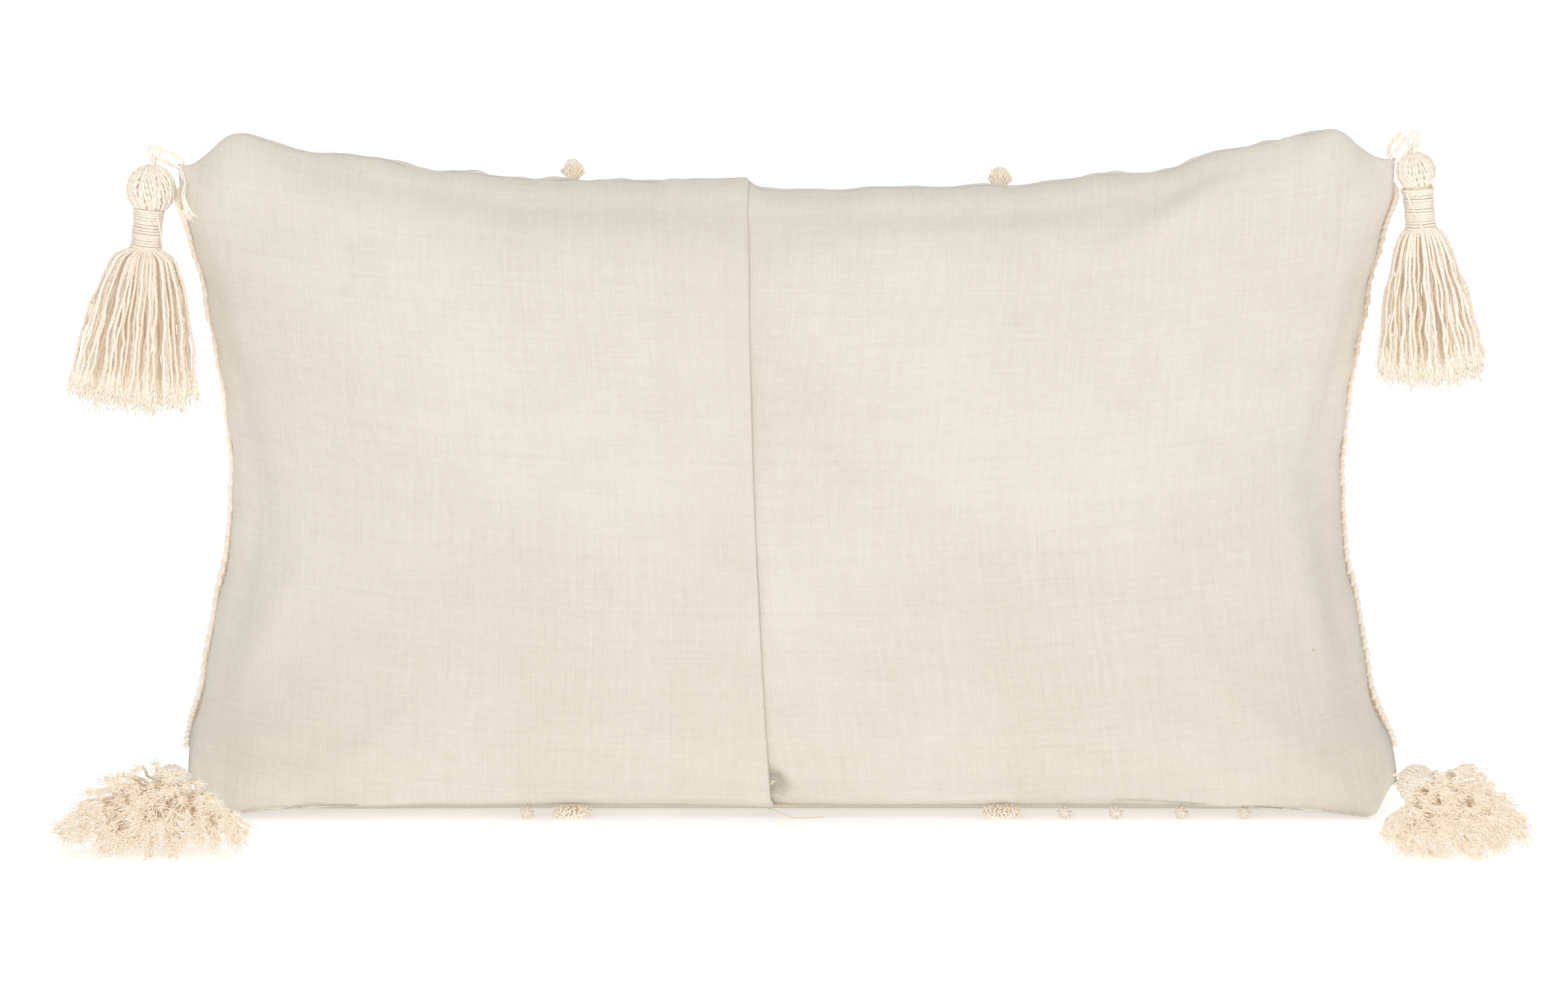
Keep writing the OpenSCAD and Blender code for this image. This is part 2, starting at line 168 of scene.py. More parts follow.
class Shader:
    """Builds one principled material out of nodes."""

    def __init__(self, name: str) -> None:
        """Starts an empty material with a principled shader.

        Args:
            name: name of the material.
        """
        self.material = bpy.data.materials.new(name)
        self.material.use_nodes = True
        self.tree = self.material.node_tree
        self.tree.nodes.clear()
        self.surface = self.tree.nodes.new("ShaderNodeBsdfPrincipled")
        output = self.tree.nodes.new("ShaderNodeOutputMaterial")
        self.tree.links.new(self.surface.outputs["BSDF"], output.inputs["Surface"])

    def plug(self, socket: bpy.types.NodeSocket, value: Value | float | tuple | str) -> None:
        """Links a value to a socket, or sets the socket to a constant.

        Args:
            socket: the input.
            value: the value.
        """
        if isinstance(value, Value):
            self.tree.links.new(value.socket, socket)
        else:
            socket.default_value = value

    def node(
        self, kind: str, output: int | str = 0, inputs: dict | None = None, **settings: object
    ) -> Value:
        """Adds any node.

        Args:
            kind: node type name.
            output: name or index of the output to return.
            inputs: values by input name or index.
            settings: properties of the node.

        Returns:
            The chosen output as a Value.
        """
        made = self.tree.nodes.new(kind)
        for key, value in settings.items():
            setattr(made, key, value)
        for key, value in (inputs or {}).items():
            self.plug(made.inputs[key], value)
        return Value(self, made.outputs[output])

    def math(self, operation: str, *values: Value | float) -> Value:
        """One Math node over one to three values."""
        return self.node("ShaderNodeMath", operation=operation, inputs=dict(enumerate(values)))

    def step(self, value: Value | float | tuple | str, low: float, high: float) -> Value:
        """Smooth step between two levels.

        Args:
            value: the value.
            low: where the step starts.
            high: where the step ends.

        Returns:
            The step, from 0 to 1.
        """
        return self.node(
            "ShaderNodeMapRange",
            interpolation_type="SMOOTHSTEP",
            inputs={"Value": value, "From Min": low, "From Max": high},
        )

    def mix(
        self, factor: Value | float, first: Value | tuple, second: Value | tuple
    ) -> Value:
        """Mixes two colours.

        Args:
            factor: share of the second colour.
            first: first colour.
            second: second colour.

        Returns:
            The mixed colour.
        """
        made = self.tree.nodes.new("ShaderNodeMix")
        made.data_type = "RGBA"
        self.plug(made.inputs["Factor"], factor)
        colours = [socket for socket in made.inputs if socket.type == "RGBA"]
        self.plug(colours[0], first)
        self.plug(colours[1], second)
        return Value(self, next(socket for socket in made.outputs if socket.type == "RGBA"))

    def place(self) -> Value:
        """Object coordinates, in metres."""
        return self.node("ShaderNodeTexCoord", "Object")

    def attribute(self, name: str, output: int | str = "Fac") -> Value:
        """An attribute of the mesh."""
        return self.node("ShaderNodeAttribute", output, attribute_name=name)

    def split(self, vector: Value) -> list[Value]:
        """The three parts of a vector.

        Args:
            vector: the vector.

        Returns:
            The x, y and z parts.
        """
        made = self.tree.nodes.new("ShaderNodeSeparateXYZ")
        self.plug(made.inputs[0], vector)
        return [Value(self, socket) for socket in made.outputs]

    def join(self, x: Value | float, y: Value | float, z: Value | float = 0.0) -> Value:
        """A vector made of three values."""
        return self.node("ShaderNodeCombineXYZ", inputs={0: x, 1: y, 2: z})

    def noise(
        self, place: Value, scale: float, detail: float = 2.0, roughness: Value | float = 0.5
    ) -> Value:
        """Fractal noise, about 0.5 on average.

        Args:
            place: where it is read.
            scale: scale of the noise.
            detail: number of finer layers.
            roughness: share of the finer layers.

        Returns:
            The noise, from 0 to 1.
        """
        return self.node(
            "ShaderNodeTexNoise",
            "Fac",
            {"Vector": place, "Scale": scale, "Detail": detail, "Roughness": roughness},
        )

    def random(self, place: Value) -> Value:
        """An even random number for each place."""
        return self.node("ShaderNodeTexWhiteNoise", "Value", {"Vector": place}, noise_dimensions="3D")

    def dress(
        self,
        colour: Value | tuple,
        roughness: Value | float,
        height: Value | float,
        distance: float,
        strength: float = 1.0,
        **constants: float | tuple,
    ) -> bpy.types.Material:
        """Feeds the principled shader.

        Args:
            colour: base colour.
            roughness: roughness.
            height: bump height from 0 to 1.
            distance: what a height of 1 stands for, in metres.
            strength: how much of the bump is used.
            constants: other principled inputs by name, with _ for spaces.

        Returns:
            The finished material.
        """
        self.plug(self.surface.inputs["Base Color"], colour)
        self.plug(self.surface.inputs["Roughness"], roughness)
        bump = self.node(
            "ShaderNodeBump", "Normal", {"Height": height, "Distance": distance, "Strength": strength}
        )
        self.plug(self.surface.inputs["Normal"], bump)
        for name, value in constants.items():
            self.surface.inputs[name.replace("_", " ")].default_value = value
        return self.material


# ---------------------------------------------------------------- finishes


@dataclass(frozen=True)
class WovenCotton:
    """Natural plain-weave cotton with slubs, stray flecks, and pinholes darkened with painted shade."""

    name: str = "Natural plain weave"
    light: tuple = (0.800, 0.748, 0.660, 1)
    dark: tuple = (0.715, 0.655, 0.560, 1)
    pinhole_shade: tuple = (0.42, 0.29, 0.19, 1)
    pitch: float = 1.2 * MM
    openness: float = 0.62

    def build(self) -> bpy.types.Material:
        """Builds the material.

        Returns:
            The finished material.
        """
        s = Shader(self.name)
        cloth = s.node("ShaderNodeUVMap", "UV", uv_map="cloth")
        x, y, _ = s.split(cloth)
        sway = s.noise(cloth, 60, 2) - 0.5
        a = x / self.pitch + sway * 1.4
        b = y / self.pitch + (s.noise(s.join(y, x, 0.3), 60, 2) - 0.5) * 1.4
        warp_side, weft_side = (a * math.pi).sine(), (b * math.pi).sine()
        warp_round, weft_round = abs(warp_side), abs(weft_side)
        slub_a = s.noise(s.join(a.floor() * 7.3, y * 45), 1.0, 2)
        slub_b = s.noise(s.join(x * 45, b.floor() * 5.1, 4.0), 1.0, 2)
        warp = warp_round ** 0.6 * (0.55 + 0.45 * weft_side * warp_side.sign()) * (0.7 + 0.6 * slub_a)
        weft = weft_round ** 0.6 * (0.55 - 0.45 * warp_side * weft_side.sign()) * (0.7 + 0.6 * slub_b)
        height = warp.most(weft)
        fibres = s.noise(s.join(x, y * 0.6), 5200, 3, 0.7)

        patch = s.noise(cloth, 11, 3).above(0.35, 0.75)
        pore = ((1 - warp_round) * (1 - weft_round)).above(0.28, 0.7)
        pore = pore * s.random(s.join(a.floor(), b.floor(), 2.0)).above(0.35, 0.95)
        tone = s.noise(cloth, 7, 3) * 0.55 + slub_a * 0.25 + slub_b * 0.2
        colour = s.mix(tone.above(0.3, 0.72), self.light, self.dark)
        thread = s.random(s.join(a.floor(), 1.0)) * 0.5 + s.random(s.join(b.floor(), 9.0)) * 0.5
        colour = s.mix(thread * 0.16, colour, (0.93, 0.885, 0.80, 1))
        double = s.attribute("doubled")
        colour = s.mix(double * 0.10, colour, (0.66, 0.58, 0.47, 1))
        # Painted shade: the pinholes of the weave are darkened as if the shaded inside shows through.
        colour = s.mix(pore * (0.25 + self.openness * patch) * (1 - 0.75 * double), colour, self.pinhole_shade)
        streak = s.noise(s.join(x * 0.25, y * 6), 130, 2, 0.4).above(0.70, 0.78)
        colour = s.mix(streak * 0.16, colour, (0.62, 0.50, 0.36, 1))
        fleck_place = s.node(
            "ShaderNodeTexVoronoi", "Distance", {"Vector": cloth, "Scale": 26.0, "Randomness": 1.0}
        )
        fleck = 1 - fleck_place.above(0.006, 0.022)
        colour = s.mix(fleck * 0.55, colour, (0.33, 0.22, 0.14, 1))
        height = height * 0.8 + fibres * 0.22 + s.noise(cloth, 900, 2) * 0.3
        roughness = 0.9 - 0.1 * height
        return s.dress(
            colour, roughness, height, 0.00034, 0.75,
            Sheen_Weight=0.18, Sheen_Roughness=0.5, Specular_IOR_Level=0.25,
        )


@dataclass(frozen=True)
class TasselYarn:
    """Soft cream cotton yarn, spun from two plies, with painted shade between the plies and a painted glow.
    """

    name: str = "Cream yarn"
    light: tuple = (0.970, 0.920, 0.835, 1)
    dark: tuple = (0.945, 0.835, 0.700, 1)
    plies: float = 2.0

    def build(self) -> bpy.types.Material:
        """Builds the material.

        Returns:
            The finished material.
        """
        s = Shader(self.name)
        place = s.place()
        along, around, shade = (s.attribute(n) for n in ("along", "around", "shade"))
        ply = abs((around * math.pi * self.plies).sine())
        fibre = s.noise(s.join(along * 420, around * 9, shade * 31), 1.0, 3, 0.65)
        fuzz = s.noise(place, 2600, 3, 0.7)
        tone = shade * 0.55 + fibre * 0.3 + s.noise(place, 35, 2) * 0.15
        colour = s.mix(tone.above(0.22, 0.8), self.dark, self.light)
        # Painted shade: the grooves between the plies are darkened towards the dark colour.
        colour = s.mix((1 - ply) * 0.3, colour, self.dark)
        height = ply * 0.5 + fibre * 0.35 + fuzz * 0.3
        # Painted light: every strand glows faintly so that yarn in shade stays bright, and fray fibres, whose
        # shade value is above 1, glow more.
        loose = shade.above(1.02, 1.12)
        glow = s.mix(loose, (0.100, 0.078, 0.055, 1), (0.330, 0.287, 0.235, 1))
        s.plug(s.surface.inputs["Emission Color"], glow)
        return s.dress(
            colour, 0.86 + 0.1 * fuzz, height, 0.0004, 0.5, Emission_Strength=1.0,
            Sheen_Weight=0.3, Sheen_Roughness=0.45, Specular_IOR_Level=0.2,
        )


@dataclass(frozen=True)
class LiningCloth:
    """Fine white calico of the insert."""

    name: str = "Insert calico"
    tint: tuple = (0.86, 0.845, 0.80, 1)

    def build(self) -> bpy.types.Material:
        """Builds the material.

        Returns:
            The finished material.
        """
        s = Shader(self.name)
        place = s.place()
        x, _, z = s.split(place)
        weave = abs((x * 5200).sine()) * abs((z * 5200).sine())
        tone = s.noise(place, 14, 3)
        colour = s.mix(tone * 0.4 + weave * 0.2, self.tint, (0.74, 0.715, 0.66, 1))
        return s.dress(colour, 0.88 - 0.08 * weave, weave + 0.3 * tone, 0.0002)


@dataclass(frozen=True)
class Wadding:
    """Matted white polyester fibre."""

    name: str = "Fibre filling"

    def build(self) -> bpy.types.Material:
        """Builds the material.

        Returns:
            The finished material.
        """
        s = Shader(self.name)
        place = s.place()
        mat = s.noise(place, 120, 5, 0.75)
        colour = s.mix(mat.above(0.3, 0.7), (0.80, 0.80, 0.79, 1), (0.93, 0.93, 0.92, 1))
        return s.dress(colour, 0.95 - 0.1 * mat, mat, 0.002, Sheen_Weight=0.2)


@dataclass(frozen=True)
class StudioFloor:
    """White floor with a faint grain, which fades to pure white with distance."""

    name: str = "White floor"

    def build(self) -> bpy.types.Material:
        """Builds the material.

        Returns:
            The finished material.
        """
        s = Shader(self.name)
        place = s.place()
        x, y, _ = s.split(place)
        grain = s.noise(place, 90, 3)
        colour = s.mix(grain, (0.90, 0.90, 0.90, 1), (0.92, 0.92, 0.92, 1))
        glow = s.mix((x * x + y * y).above(0.6, 4.0), (0.34, 0.34, 0.34, 1), (0.80, 0.80, 0.80, 1))
        s.plug(s.surface.inputs["Emission Color"], glow)
        return s.dress(colour, 0.9 - 0.05 * grain, grain, 0.0001, 0.2, Emission_Strength=1.0)


# ---------------------------------------------------------------- shape of the filled cover


def smooth(t: Array) -> Array:
    """Smooth step of an array between 0 and 1."""
    t = np.clip(t, 0, 1)
    return t * t * (3 - 2 * t)


def unit(vectors: Array) -> Array:
    """Vectors of length 1."""
    return vectors / np.maximum(np.linalg.norm(vectors, axis=-1, keepdims=True), 1e-12)


def grid_faces(ids: Array, turned: bool) -> Array:
    """Square faces between the points of a grid."""
    corners = [ids[:-1, :-1], ids[1:, :-1], ids[1:, 1:], ids[:-1, 1:]]
    return np.stack(corners[::-1] if turned else corners, -1).reshape(-1, 4)


def closed_grids(shape: tuple) -> tuple[Array, Array, Array]:
    """Two grids that share their rim, as the two faces of a cushion.

    Args:
        shape: rows and columns of each grid.

    Returns:
        Point numbers of the front, of the back, and the faces of both.
    """
    front = np.arange(shape[0] * shape[1]).reshape(shape)
    back = front.copy()
    inner = back[1:-1, 1:-1]
    back[1:-1, 1:-1] = front.size + np.arange(inner.size).reshape(inner.shape)
    return front, back, np.concatenate([grid_faces(front, True), grid_faces(back, False)])


class Ripple:
    """Smooth repeatable noise with a variance of about 1: a sum of waves at random headings."""

    def __init__(self, seed: int, wavelength: float, waves: int = 10) -> None:
        """Draws the heading, length and phase of each wave.

        Args:
            seed: seed of the waves.
            wavelength: mean distance between crests.
            waves: how many waves.
        """
        rng = np.random.default_rng(seed)
        heading = rng.uniform(0, 2 * math.pi, waves)
        number = 2 * math.pi / (wavelength * rng.uniform(0.6, 1.7, waves))
        self.kx, self.ky = number * np.cos(heading), number * np.sin(heading)
        self.phase = rng.uniform(0, 2 * math.pi, waves)

    def __call__(self, x: Array | float, y: Array | float = 0.0) -> Array:
        """The noise at places.

        Args:
            x: first place.
            y: second place.

        Returns:
            The noise at each place.
        """
        x, y = np.broadcast_arrays(x, y)
        total = np.zeros(x.shape)
        for kx, ky, phase in zip(self.kx, self.ky, self.phase):
            total += np.cos(kx * x + ky * y + phase)
        return total * math.sqrt(2 / len(self.phase))


@dataclass(frozen=True)
class Crease:
    """A soft fold of the cloth: where it lies, which way it runs, and its size."""

    side: Side
    x: float
    z: float
    heading: float
    length: float
    width: float
    height: float

    def relief(self, x: Array | float, z: Array | float) -> Array:
        """Height of the fold at places on its side of the pillow.

        Args:
            x: distance along +X.
            z: height.

        Returns:
            The height at each place.
        """
        turn = math.radians(self.heading)
        dx, dz = x - self.x, z - self.z
        along = dx * math.cos(turn) + dz * math.sin(turn)
        across = dz * math.cos(turn) - dx * math.sin(turn)
        across = across - 0.12 * along ** 2 / self.length
        ridge = np.exp(-((across / self.width) ** 2))
        valley = 0.45 * np.exp(-(((across + 1.6 * self.width) / (1.3 * self.width)) ** 2))
        return self.height * (ridge - valley) * np.exp(-((2 * along / self.length) ** 2))


@dataclass
class PillowShape:
    """The filled cover, with the sizes of its CAD panels."""

    length: float = 0.596
    height: float = 0.310
    thickness: float = 0.150
    crown: float = 0.45
    side_pull: float = 0.025
    ear_rise: float = 0.038
    corner_drop: float = 0.027
    corner_lift: float = 0.036
    corner_tuck: float = 0.005
    base_sink: float = 0.016
    seam_roll: float = 0.032
    ear_roll: float = 0.012
    foot_flat: float = 0.015
    foot_rise: float = 0.0055
    foot_slope: float = 0.22
    flap_edge: float = -0.016
    flap_slant: float = 0.0065
    flap_bow: float = 0.0025

    def ear(self, u: Array | float, v: Array | float) -> Array:
        """1 at a corner tip and 0 away from the ears."""
        return smooth((np.abs(u) - 0.88) / 0.12) * smooth((np.abs(v) - 0.6) / 0.4)

    def bulge(self, u: Array | float, v: Array | float) -> Array:
        """Share of the full thickness."""
        return np.clip((1 - u * u) * (1 - v * v), 0, None) ** self.crown

    def half_length(self, v: Array | float, edge: Array | float = 0.0) -> Array:
        """Half the pillow's length at a height."""
        return self.length / 2 - edge - self.side_pull * (1 - smooth(np.abs(v)))

    def seam_top(self, u: Array | float) -> Array:
        """Height of the top seam."""
        return self.height + self.ear_rise * np.abs(u) ** 3

    def roll(self, u: Array | float, height: Array | float) -> Array:
        """Forward place of the seam plane at a height."""
        reach = (self.seam_top(u) - height) / (self.seam_top(u) + self.base_sink)
        return -(self.seam_roll + self.ear_roll * u**4) * np.clip(reach, 0, None) ** 8

    def skin(
        self,
        u: Array | float,
        v: Array | float,
        side: int,
        depth: Array | float = 0.0,
        edge: Array | float = 0.0,
        rest: Array | float = 0.0,
    ) -> Array:
        """Points of the pillow before any wrinkle.

        Args:
            u: place along the pillow, from -1 to 1.
            v: place up the pillow, from -1 to 1.
            side: 1 for the front, -1 for the back.
            depth: how far inside the outer face.
            edge: how far inside the seam line.
            rest: lowest height.

        Returns:
            An array of points.
        """
        u, v = np.broadcast_arrays(np.asarray(u, float), np.asarray(v, float))
        tip = self.ear(u, v)
        low = -self.base_sink + edge
        height = low + (self.seam_top(u) - edge - low) * (v + 1) / 2
        x = u * self.half_length(v, edge) + np.where(v < 0, self.corner_tuck * tip * (u < 0), 0)
        y = self.roll(u, height) + side * (0.0001 + (self.thickness / 2 - depth) * self.bulge(u, v))
        unpressed = (self.seam_top(u) + self.base_sink) * (v + 1) / 2 - self.base_sink
        outer = self.roll(u, unpressed) + side * self.thickness / 2 * self.bulge(u, v)
        reach = np.abs(u) * self.half_length(v, edge) / self.half_length(v)
        late = tip * smooth((reach - 0.93) / 0.07)
        fall = np.where(v > 0, self.corner_drop * tip, -self.corner_lift * late)
        floor = rest + self.foot(u, outer)
        over = height - fall - floor - self.settle(x, v)
        bent = 0.003 * np.logaddexp(0, np.clip(over, -1, 0.018) / 0.003)
        z = floor + np.where(over > 0.018, over, bent)
        return np.stack([x, y, z], -1)

    def settle(self, x: Array | float, v: Array | float) -> Array:
        """How far the top has sunk, by place along the pillow.

        Args:
            x: distance along +X.
            v: place up the pillow.

        Returns:
            The distance down.
        """
        right = 0.0034 * smooth((x + 0.019) / 0.005) * (1 - smooth((x - 0.15) / 0.06))
        left = 0.0030 * np.exp(-(((x + 0.262) / 0.07) ** 2))
        lump = 0.0022 * np.exp(-(((x - 0.184) / 0.012) ** 2))
        lump = lump - 0.0016 * np.exp(-(((x - 0.160) / 0.014) ** 2))
        low = 0.0012 * np.exp(-(((x + 0.14) / 0.03) ** 2))
        return (right + left + lump + low) * smooth((v - 0.1) / 0.9) ** 1.5

    def foot(self, u: Array | float, y: Array | float) -> Array:
        """Height of the cloth above the floor where it curves in to the bottom seam."""
        rise = self.foot_rise * smooth((-y - self.foot_flat) / (self.seam_roll - self.foot_flat))
        return (1 - u**6) * (rise + self.foot_slope * np.clip(-y - self.seam_roll, 0, None))

    def normal(self, u: Array | float, v: Array | float, side: int) -> Array:
        """Outward directions of the smooth pillow.

        Args:
            u: place along the pillow.
            v: place up the pillow.
            side: 1 for the front, -1 for the back.

        Returns:
            Unit vectors.
        """
        s = 0.004
        low_u, high_u = np.clip(u - s, -1, 1), np.clip(u + s, -1, 1)
        low_v, high_v = np.clip(v - s, -1, 1), np.clip(v + s, -1, 1)
        along = self.skin(high_u, v, side) - self.skin(low_u, v, side)
        up = self.skin(u, high_v, side) - self.skin(u, low_v, side)
        face = unit(side * np.cross(up, along))
        ends, rims = np.sign(u) * np.abs(u) ** 40, np.sign(v) * np.abs(v) ** 20
        outer = unit(np.stack([ends, side * 0.05 + 0 * u, rims], -1))
        share = (self.bulge(u, v) < 0.04)[..., None] * self.ear(u, v)[..., None]
        return unit(face * (1 - share) + outer * share)

    def u_at(self, x: Array | float, v: Array | float) -> Array:
        """Place along the pillow of a distance from its middle."""
        return x / self.half_length(v)

    def flap_x(self, v: Array | float) -> Array:
        """Where the flap's free edge runs."""
        return self.flap_edge - self.flap_slant * v + self.flap_bow * v * v


@dataclass
class Inflation:
    """Cloth simulation of the two panels blown up against their seam, for natural wrinkles."""

    shape: PillowShape
    cells_u: int = 112
    cells_v: int = 64
    frames: int = 11
    flat: tuple = (0.610, CUT_HEIGHT)
    reach: float = 0.0028

    def grid(self) -> list[Array]:
        """Places of the grid lines, closer together at the seams.

        Returns:
            The lines along the pillow and the lines up it.
        """
        lines = []
        for cells in (self.cells_u, self.cells_v):
            t = np.linspace(-1, 1, cells + 1)
            lines.append(0.75 * t + 0.25 * np.sin(t * math.pi / 2))
        return lines

    def run(self) -> dict[Side, Array]:
        """Simulates the cloth.

        Returns:
            The wrinkle height on the grid for each side.
        """
        u, v = np.meshgrid(*self.grid(), indexing="ij")
        flat_u, flat_v = np.meshgrid(
            np.linspace(-0.5, 0.5, self.cells_u + 1) * self.flat[0],
            np.linspace(-0.5, 0.5, self.cells_v + 1) * self.flat[1],
            indexing="ij",
        )
        front, back, faces = closed_grids(u.shape)
        start = np.concatenate(
            [self.shape.skin(u, v, 1).reshape(-1, 3), self.shape.skin(u, v, -1)[1:-1, 1:-1].reshape(-1, 3)]
        )
        flat = np.stack([flat_u, 0 * flat_u, flat_v], -1)
        rest = np.concatenate([(flat + [0, 0.0005, 0]).reshape(-1, 3), flat[1:-1, 1:-1].reshape(-1, 3)])
        mesh = bpy.data.meshes.new("inflation")
        mesh.from_pydata(start.tolist(), [], faces.tolist())
        cloth = bpy.data.objects.new("inflation", mesh)
        bpy.context.scene.collection.objects.link(cloth)
        cloth.shape_key_add(name="Basis")
        key = cloth.shape_key_add(name="rest")
        key.data.foreach_set("co", rest.ravel().astype(np.float32))
        key.value = 0
        modifier = cloth.modifiers.new("Cloth", "CLOTH")
        settings = modifier.settings
        settings.rest_shape_key = key
        for name, value in {
            "quality": 6, "mass": 0.15, "tension_stiffness": 30, "compression_stiffness": 30,
            "shear_stiffness": 10, "bending_stiffness": 0.2, "tension_damping": 8,
            "compression_damping": 8, "shear_damping": 8, "air_damping": 4,
            "use_pressure": True, "uniform_pressure_force": 5,
        }.items():
            setattr(settings, name, value)
        settings.effector_weights.gravity = 0
        scene = bpy.context.scene
        modifier.point_cache.frame_start, modifier.point_cache.frame_end = 1, self.frames
        for frame in range(1, self.frames + 1):
            scene.frame_set(frame)
        evaluated = cloth.evaluated_get(bpy.context.evaluated_depsgraph_get())
        points = np.empty(len(start) * 3, np.float32)
        evaluated.data.vertices.foreach_get("co", points)
        moved = points.reshape(-1, 3) - start
        scene.frame_set(1)
        bpy.data.objects.remove(cloth)
        result = {}
        for side, ids in ((Side.FRONT, front), (Side.BACK, back)):
            outward = np.sum(moved[ids] * self.shape.normal(u, v, side.value), -1)
            wrinkle = self.blur(outward, 1) - self.blur(outward, 9)
            calm = smooth((1 - np.abs(u)) / 0.05) * smooth((1 - np.abs(v)) / 0.06)
            result[side] = self.reach * np.tanh(wrinkle / self.reach) * calm
            LOG.info("wrinkles on %s: up to %.1f mm", side.name, 1000 * np.abs(result[side]).max())
        return result

    @staticmethod
    def blur(values: Array, width: float) -> Array:
        """Blurs a grid over a number of cells.

        Args:
            values: the grid.
            width: width of the blur, in cells.

        Returns:
            The blurred grid.
        """
        reach = int(3 * width)
        kernel = np.exp(-0.5 * (np.arange(-reach, reach + 1) / width) ** 2)
        kernel /= kernel.sum()
        for axis in (0, 1):
            padded = np.pad(values, [(reach, reach) if i == axis else (0, 0) for i in (0, 1)], mode="edge")
            values = np.apply_along_axis(lambda row: np.convolve(row, kernel, "valid"), axis, padded)
        return values


@dataclass
class Cover:
    """The wrinkled outer face of the pillow, from which every ply is taken."""

    shape: PillowShape
    wrinkles: dict = field(default_factory=dict)
    lines: list = field(default_factory=list)
    creases: list = field(default_factory=list)

    def __post_init__(self) -> None:
        """Runs the cloth simulation and sets out the folds."""
        inflation = Inflation(self.shape)
        self.lines = inflation.grid()
        self.wrinkles = inflation.run()
        self.swell = {s: Ripple(3 + s.value, 0.150) for s in Side}
        self.dimple = {s: Ripple(13 + s.value, 0.055) for s in Side}
        self.pucker = {s: Ripple(23 + s.value, 0.019) for s in Side}
        self.drift = Ripple(31, 0.12)
        back = Side.BACK
        self.creases = [
            Crease(back, -0.049, 0.017, 52, 0.040, 0.0040, 0.0016),
            Crease(back, 0.014, 0.016, -32, 0.046, 0.0042, 0.0022),
            Crease(back, 0.182, 0.292, 28, 0.085, 0.0070, 0.0024),
            Crease(back, 0.205, 0.262, 48, 0.110, 0.0100, 0.0018),
            Crease(back, -0.196, 0.276, -52, 0.120, 0.0105, 0.0018),
            Crease(back, -0.232, 0.300, -20, 0.070, 0.0070, 0.0014),
            Crease(back, -0.252, 0.090, 62, 0.090, 0.0080, 0.0016),
            Crease(back, -0.262, 0.040, 4, 0.050, 0.0050, 0.0022),
            Crease(back, -0.215, 0.030, 38, 0.100, 0.0080, 0.0015),
            Crease(back, 0.236, 0.044, -44, 0.120, 0.0090, 0.0020),
            Crease(back, 0.258, 0.100, -70, 0.080, 0.0075, 0.0014),
            Crease(back, 0.105, 0.022, -60, 0.040, 0.0050, 0.0012),
            Crease(back, -0.118, 0.020, 68, 0.042, 0.0050, 0.0012),
        ]
        rng = np.random.default_rng(5)
        for x, z in [(a * 0.2, b) for a in (-1, 1) for b in (0.05, 0.27)] * 2:
            self.creases.append(
                Crease(
                    Side.FRONT, x + rng.uniform(-0.03, 0.03), z + rng.uniform(-0.02, 0.02),
                    math.degrees(math.atan2(z - 0.16, x)) + rng.uniform(-15, 15),
                    rng.uniform(0.08, 0.12), rng.uniform(0.007, 0.011), rng.uniform(0.0012, 0.0022),
                )
            )

    def sampled(self, side: Side, u: Array | float, v: Array | float) -> Array:
        """Simulated wrinkle height at places between the grid lines.

        Args:
            side: side of the pillow.
            u: place along the pillow.
            v: place up the pillow.

        Returns:
            The height at each place.
        """
        grid = self.wrinkles[side]
        i = np.interp(u, self.lines[0], np.arange(len(self.lines[0])))
        j = np.interp(v, self.lines[1], np.arange(len(self.lines[1])))
        total = np.zeros(np.shape(i))
        for di in range(-1, 3):
            for dj in range(-1, 3):
                a, b = np.floor(i) + di, np.floor(j) + dj
                weight = self.hat(i - a) * self.hat(j - b)
                a = np.clip(a, 0, grid.shape[0] - 1).astype(int)
                b = np.clip(b, 0, grid.shape[1] - 1).astype(int)
                total += weight * grid[a, b]
        return total

    @staticmethod
    def hat(t: Array) -> Array:
        """Cubic spline weight that fades over two cells.

        Args:
            t: distance in cells.

        Returns:
            The weight.
        """
        t = np.abs(t)
        near = (4 - 6 * t**2 + 3 * t**3) / 6
        return np.where(t < 1, near, np.clip(2 - t, 0, None) ** 3 / 6)

    def relief(self, u: Array | float, v: Array | float, side: Side, base: Array) -> Array:
        """How far the cloth stands out from the smooth pillow.

        Args:
            u: place along the pillow.
            v: place up the pillow.
            side: side of the pillow.
            base: points of the smooth pillow.

        Returns:
            The distance outward.
        """
        x, z = base[..., 0], base[..., 2]
        out = np.abs(base[..., 1] - self.shape.roll(u, self.shape.skin(u, v, 0)[..., 2]))
        to_side = np.hypot((1 - np.abs(u)) * HALF_LENGTH, out)
        to_top = np.hypot((1 - np.abs(v)) * HALF_RISE, out)
        seam = np.minimum(to_side, to_top)
        along = np.where(to_side < to_top, z + 7, x)
        gather = self.pucker[side](along, 0.35 * seam)
        gather = gather * np.exp(-seam / 0.011) * (1 - np.exp(-seam / 0.003))
        gather *= (0.55 + 0.45 * np.tanh(self.drift(along))) * smooth((z - 0.004) / 0.020)
        relief = (
            0.0008 * self.pucker[Side.FRONT](along * 0.42) * np.exp(-seam / 0.03)
            + 0.0010 * self.swell[side](x, z) * smooth(seam / 0.05)
            + 0.00035 * self.dimple[side](x, z) * smooth(seam / 0.03)
            + 0.0011 * gather
            + self.sampled(side, u, v)
        )
        for crease in self.creases:
            if crease.side is side:
                relief += crease.relief(x, z) * smooth(seam / 0.012 + 0.25)
        calm = 1 - 0.6 * self.shape.ear(u, v)
        return relief * calm * smooth((z + 0.002) / 0.024) - 0.0010 * np.exp(-((seam / 0.0024) ** 2))

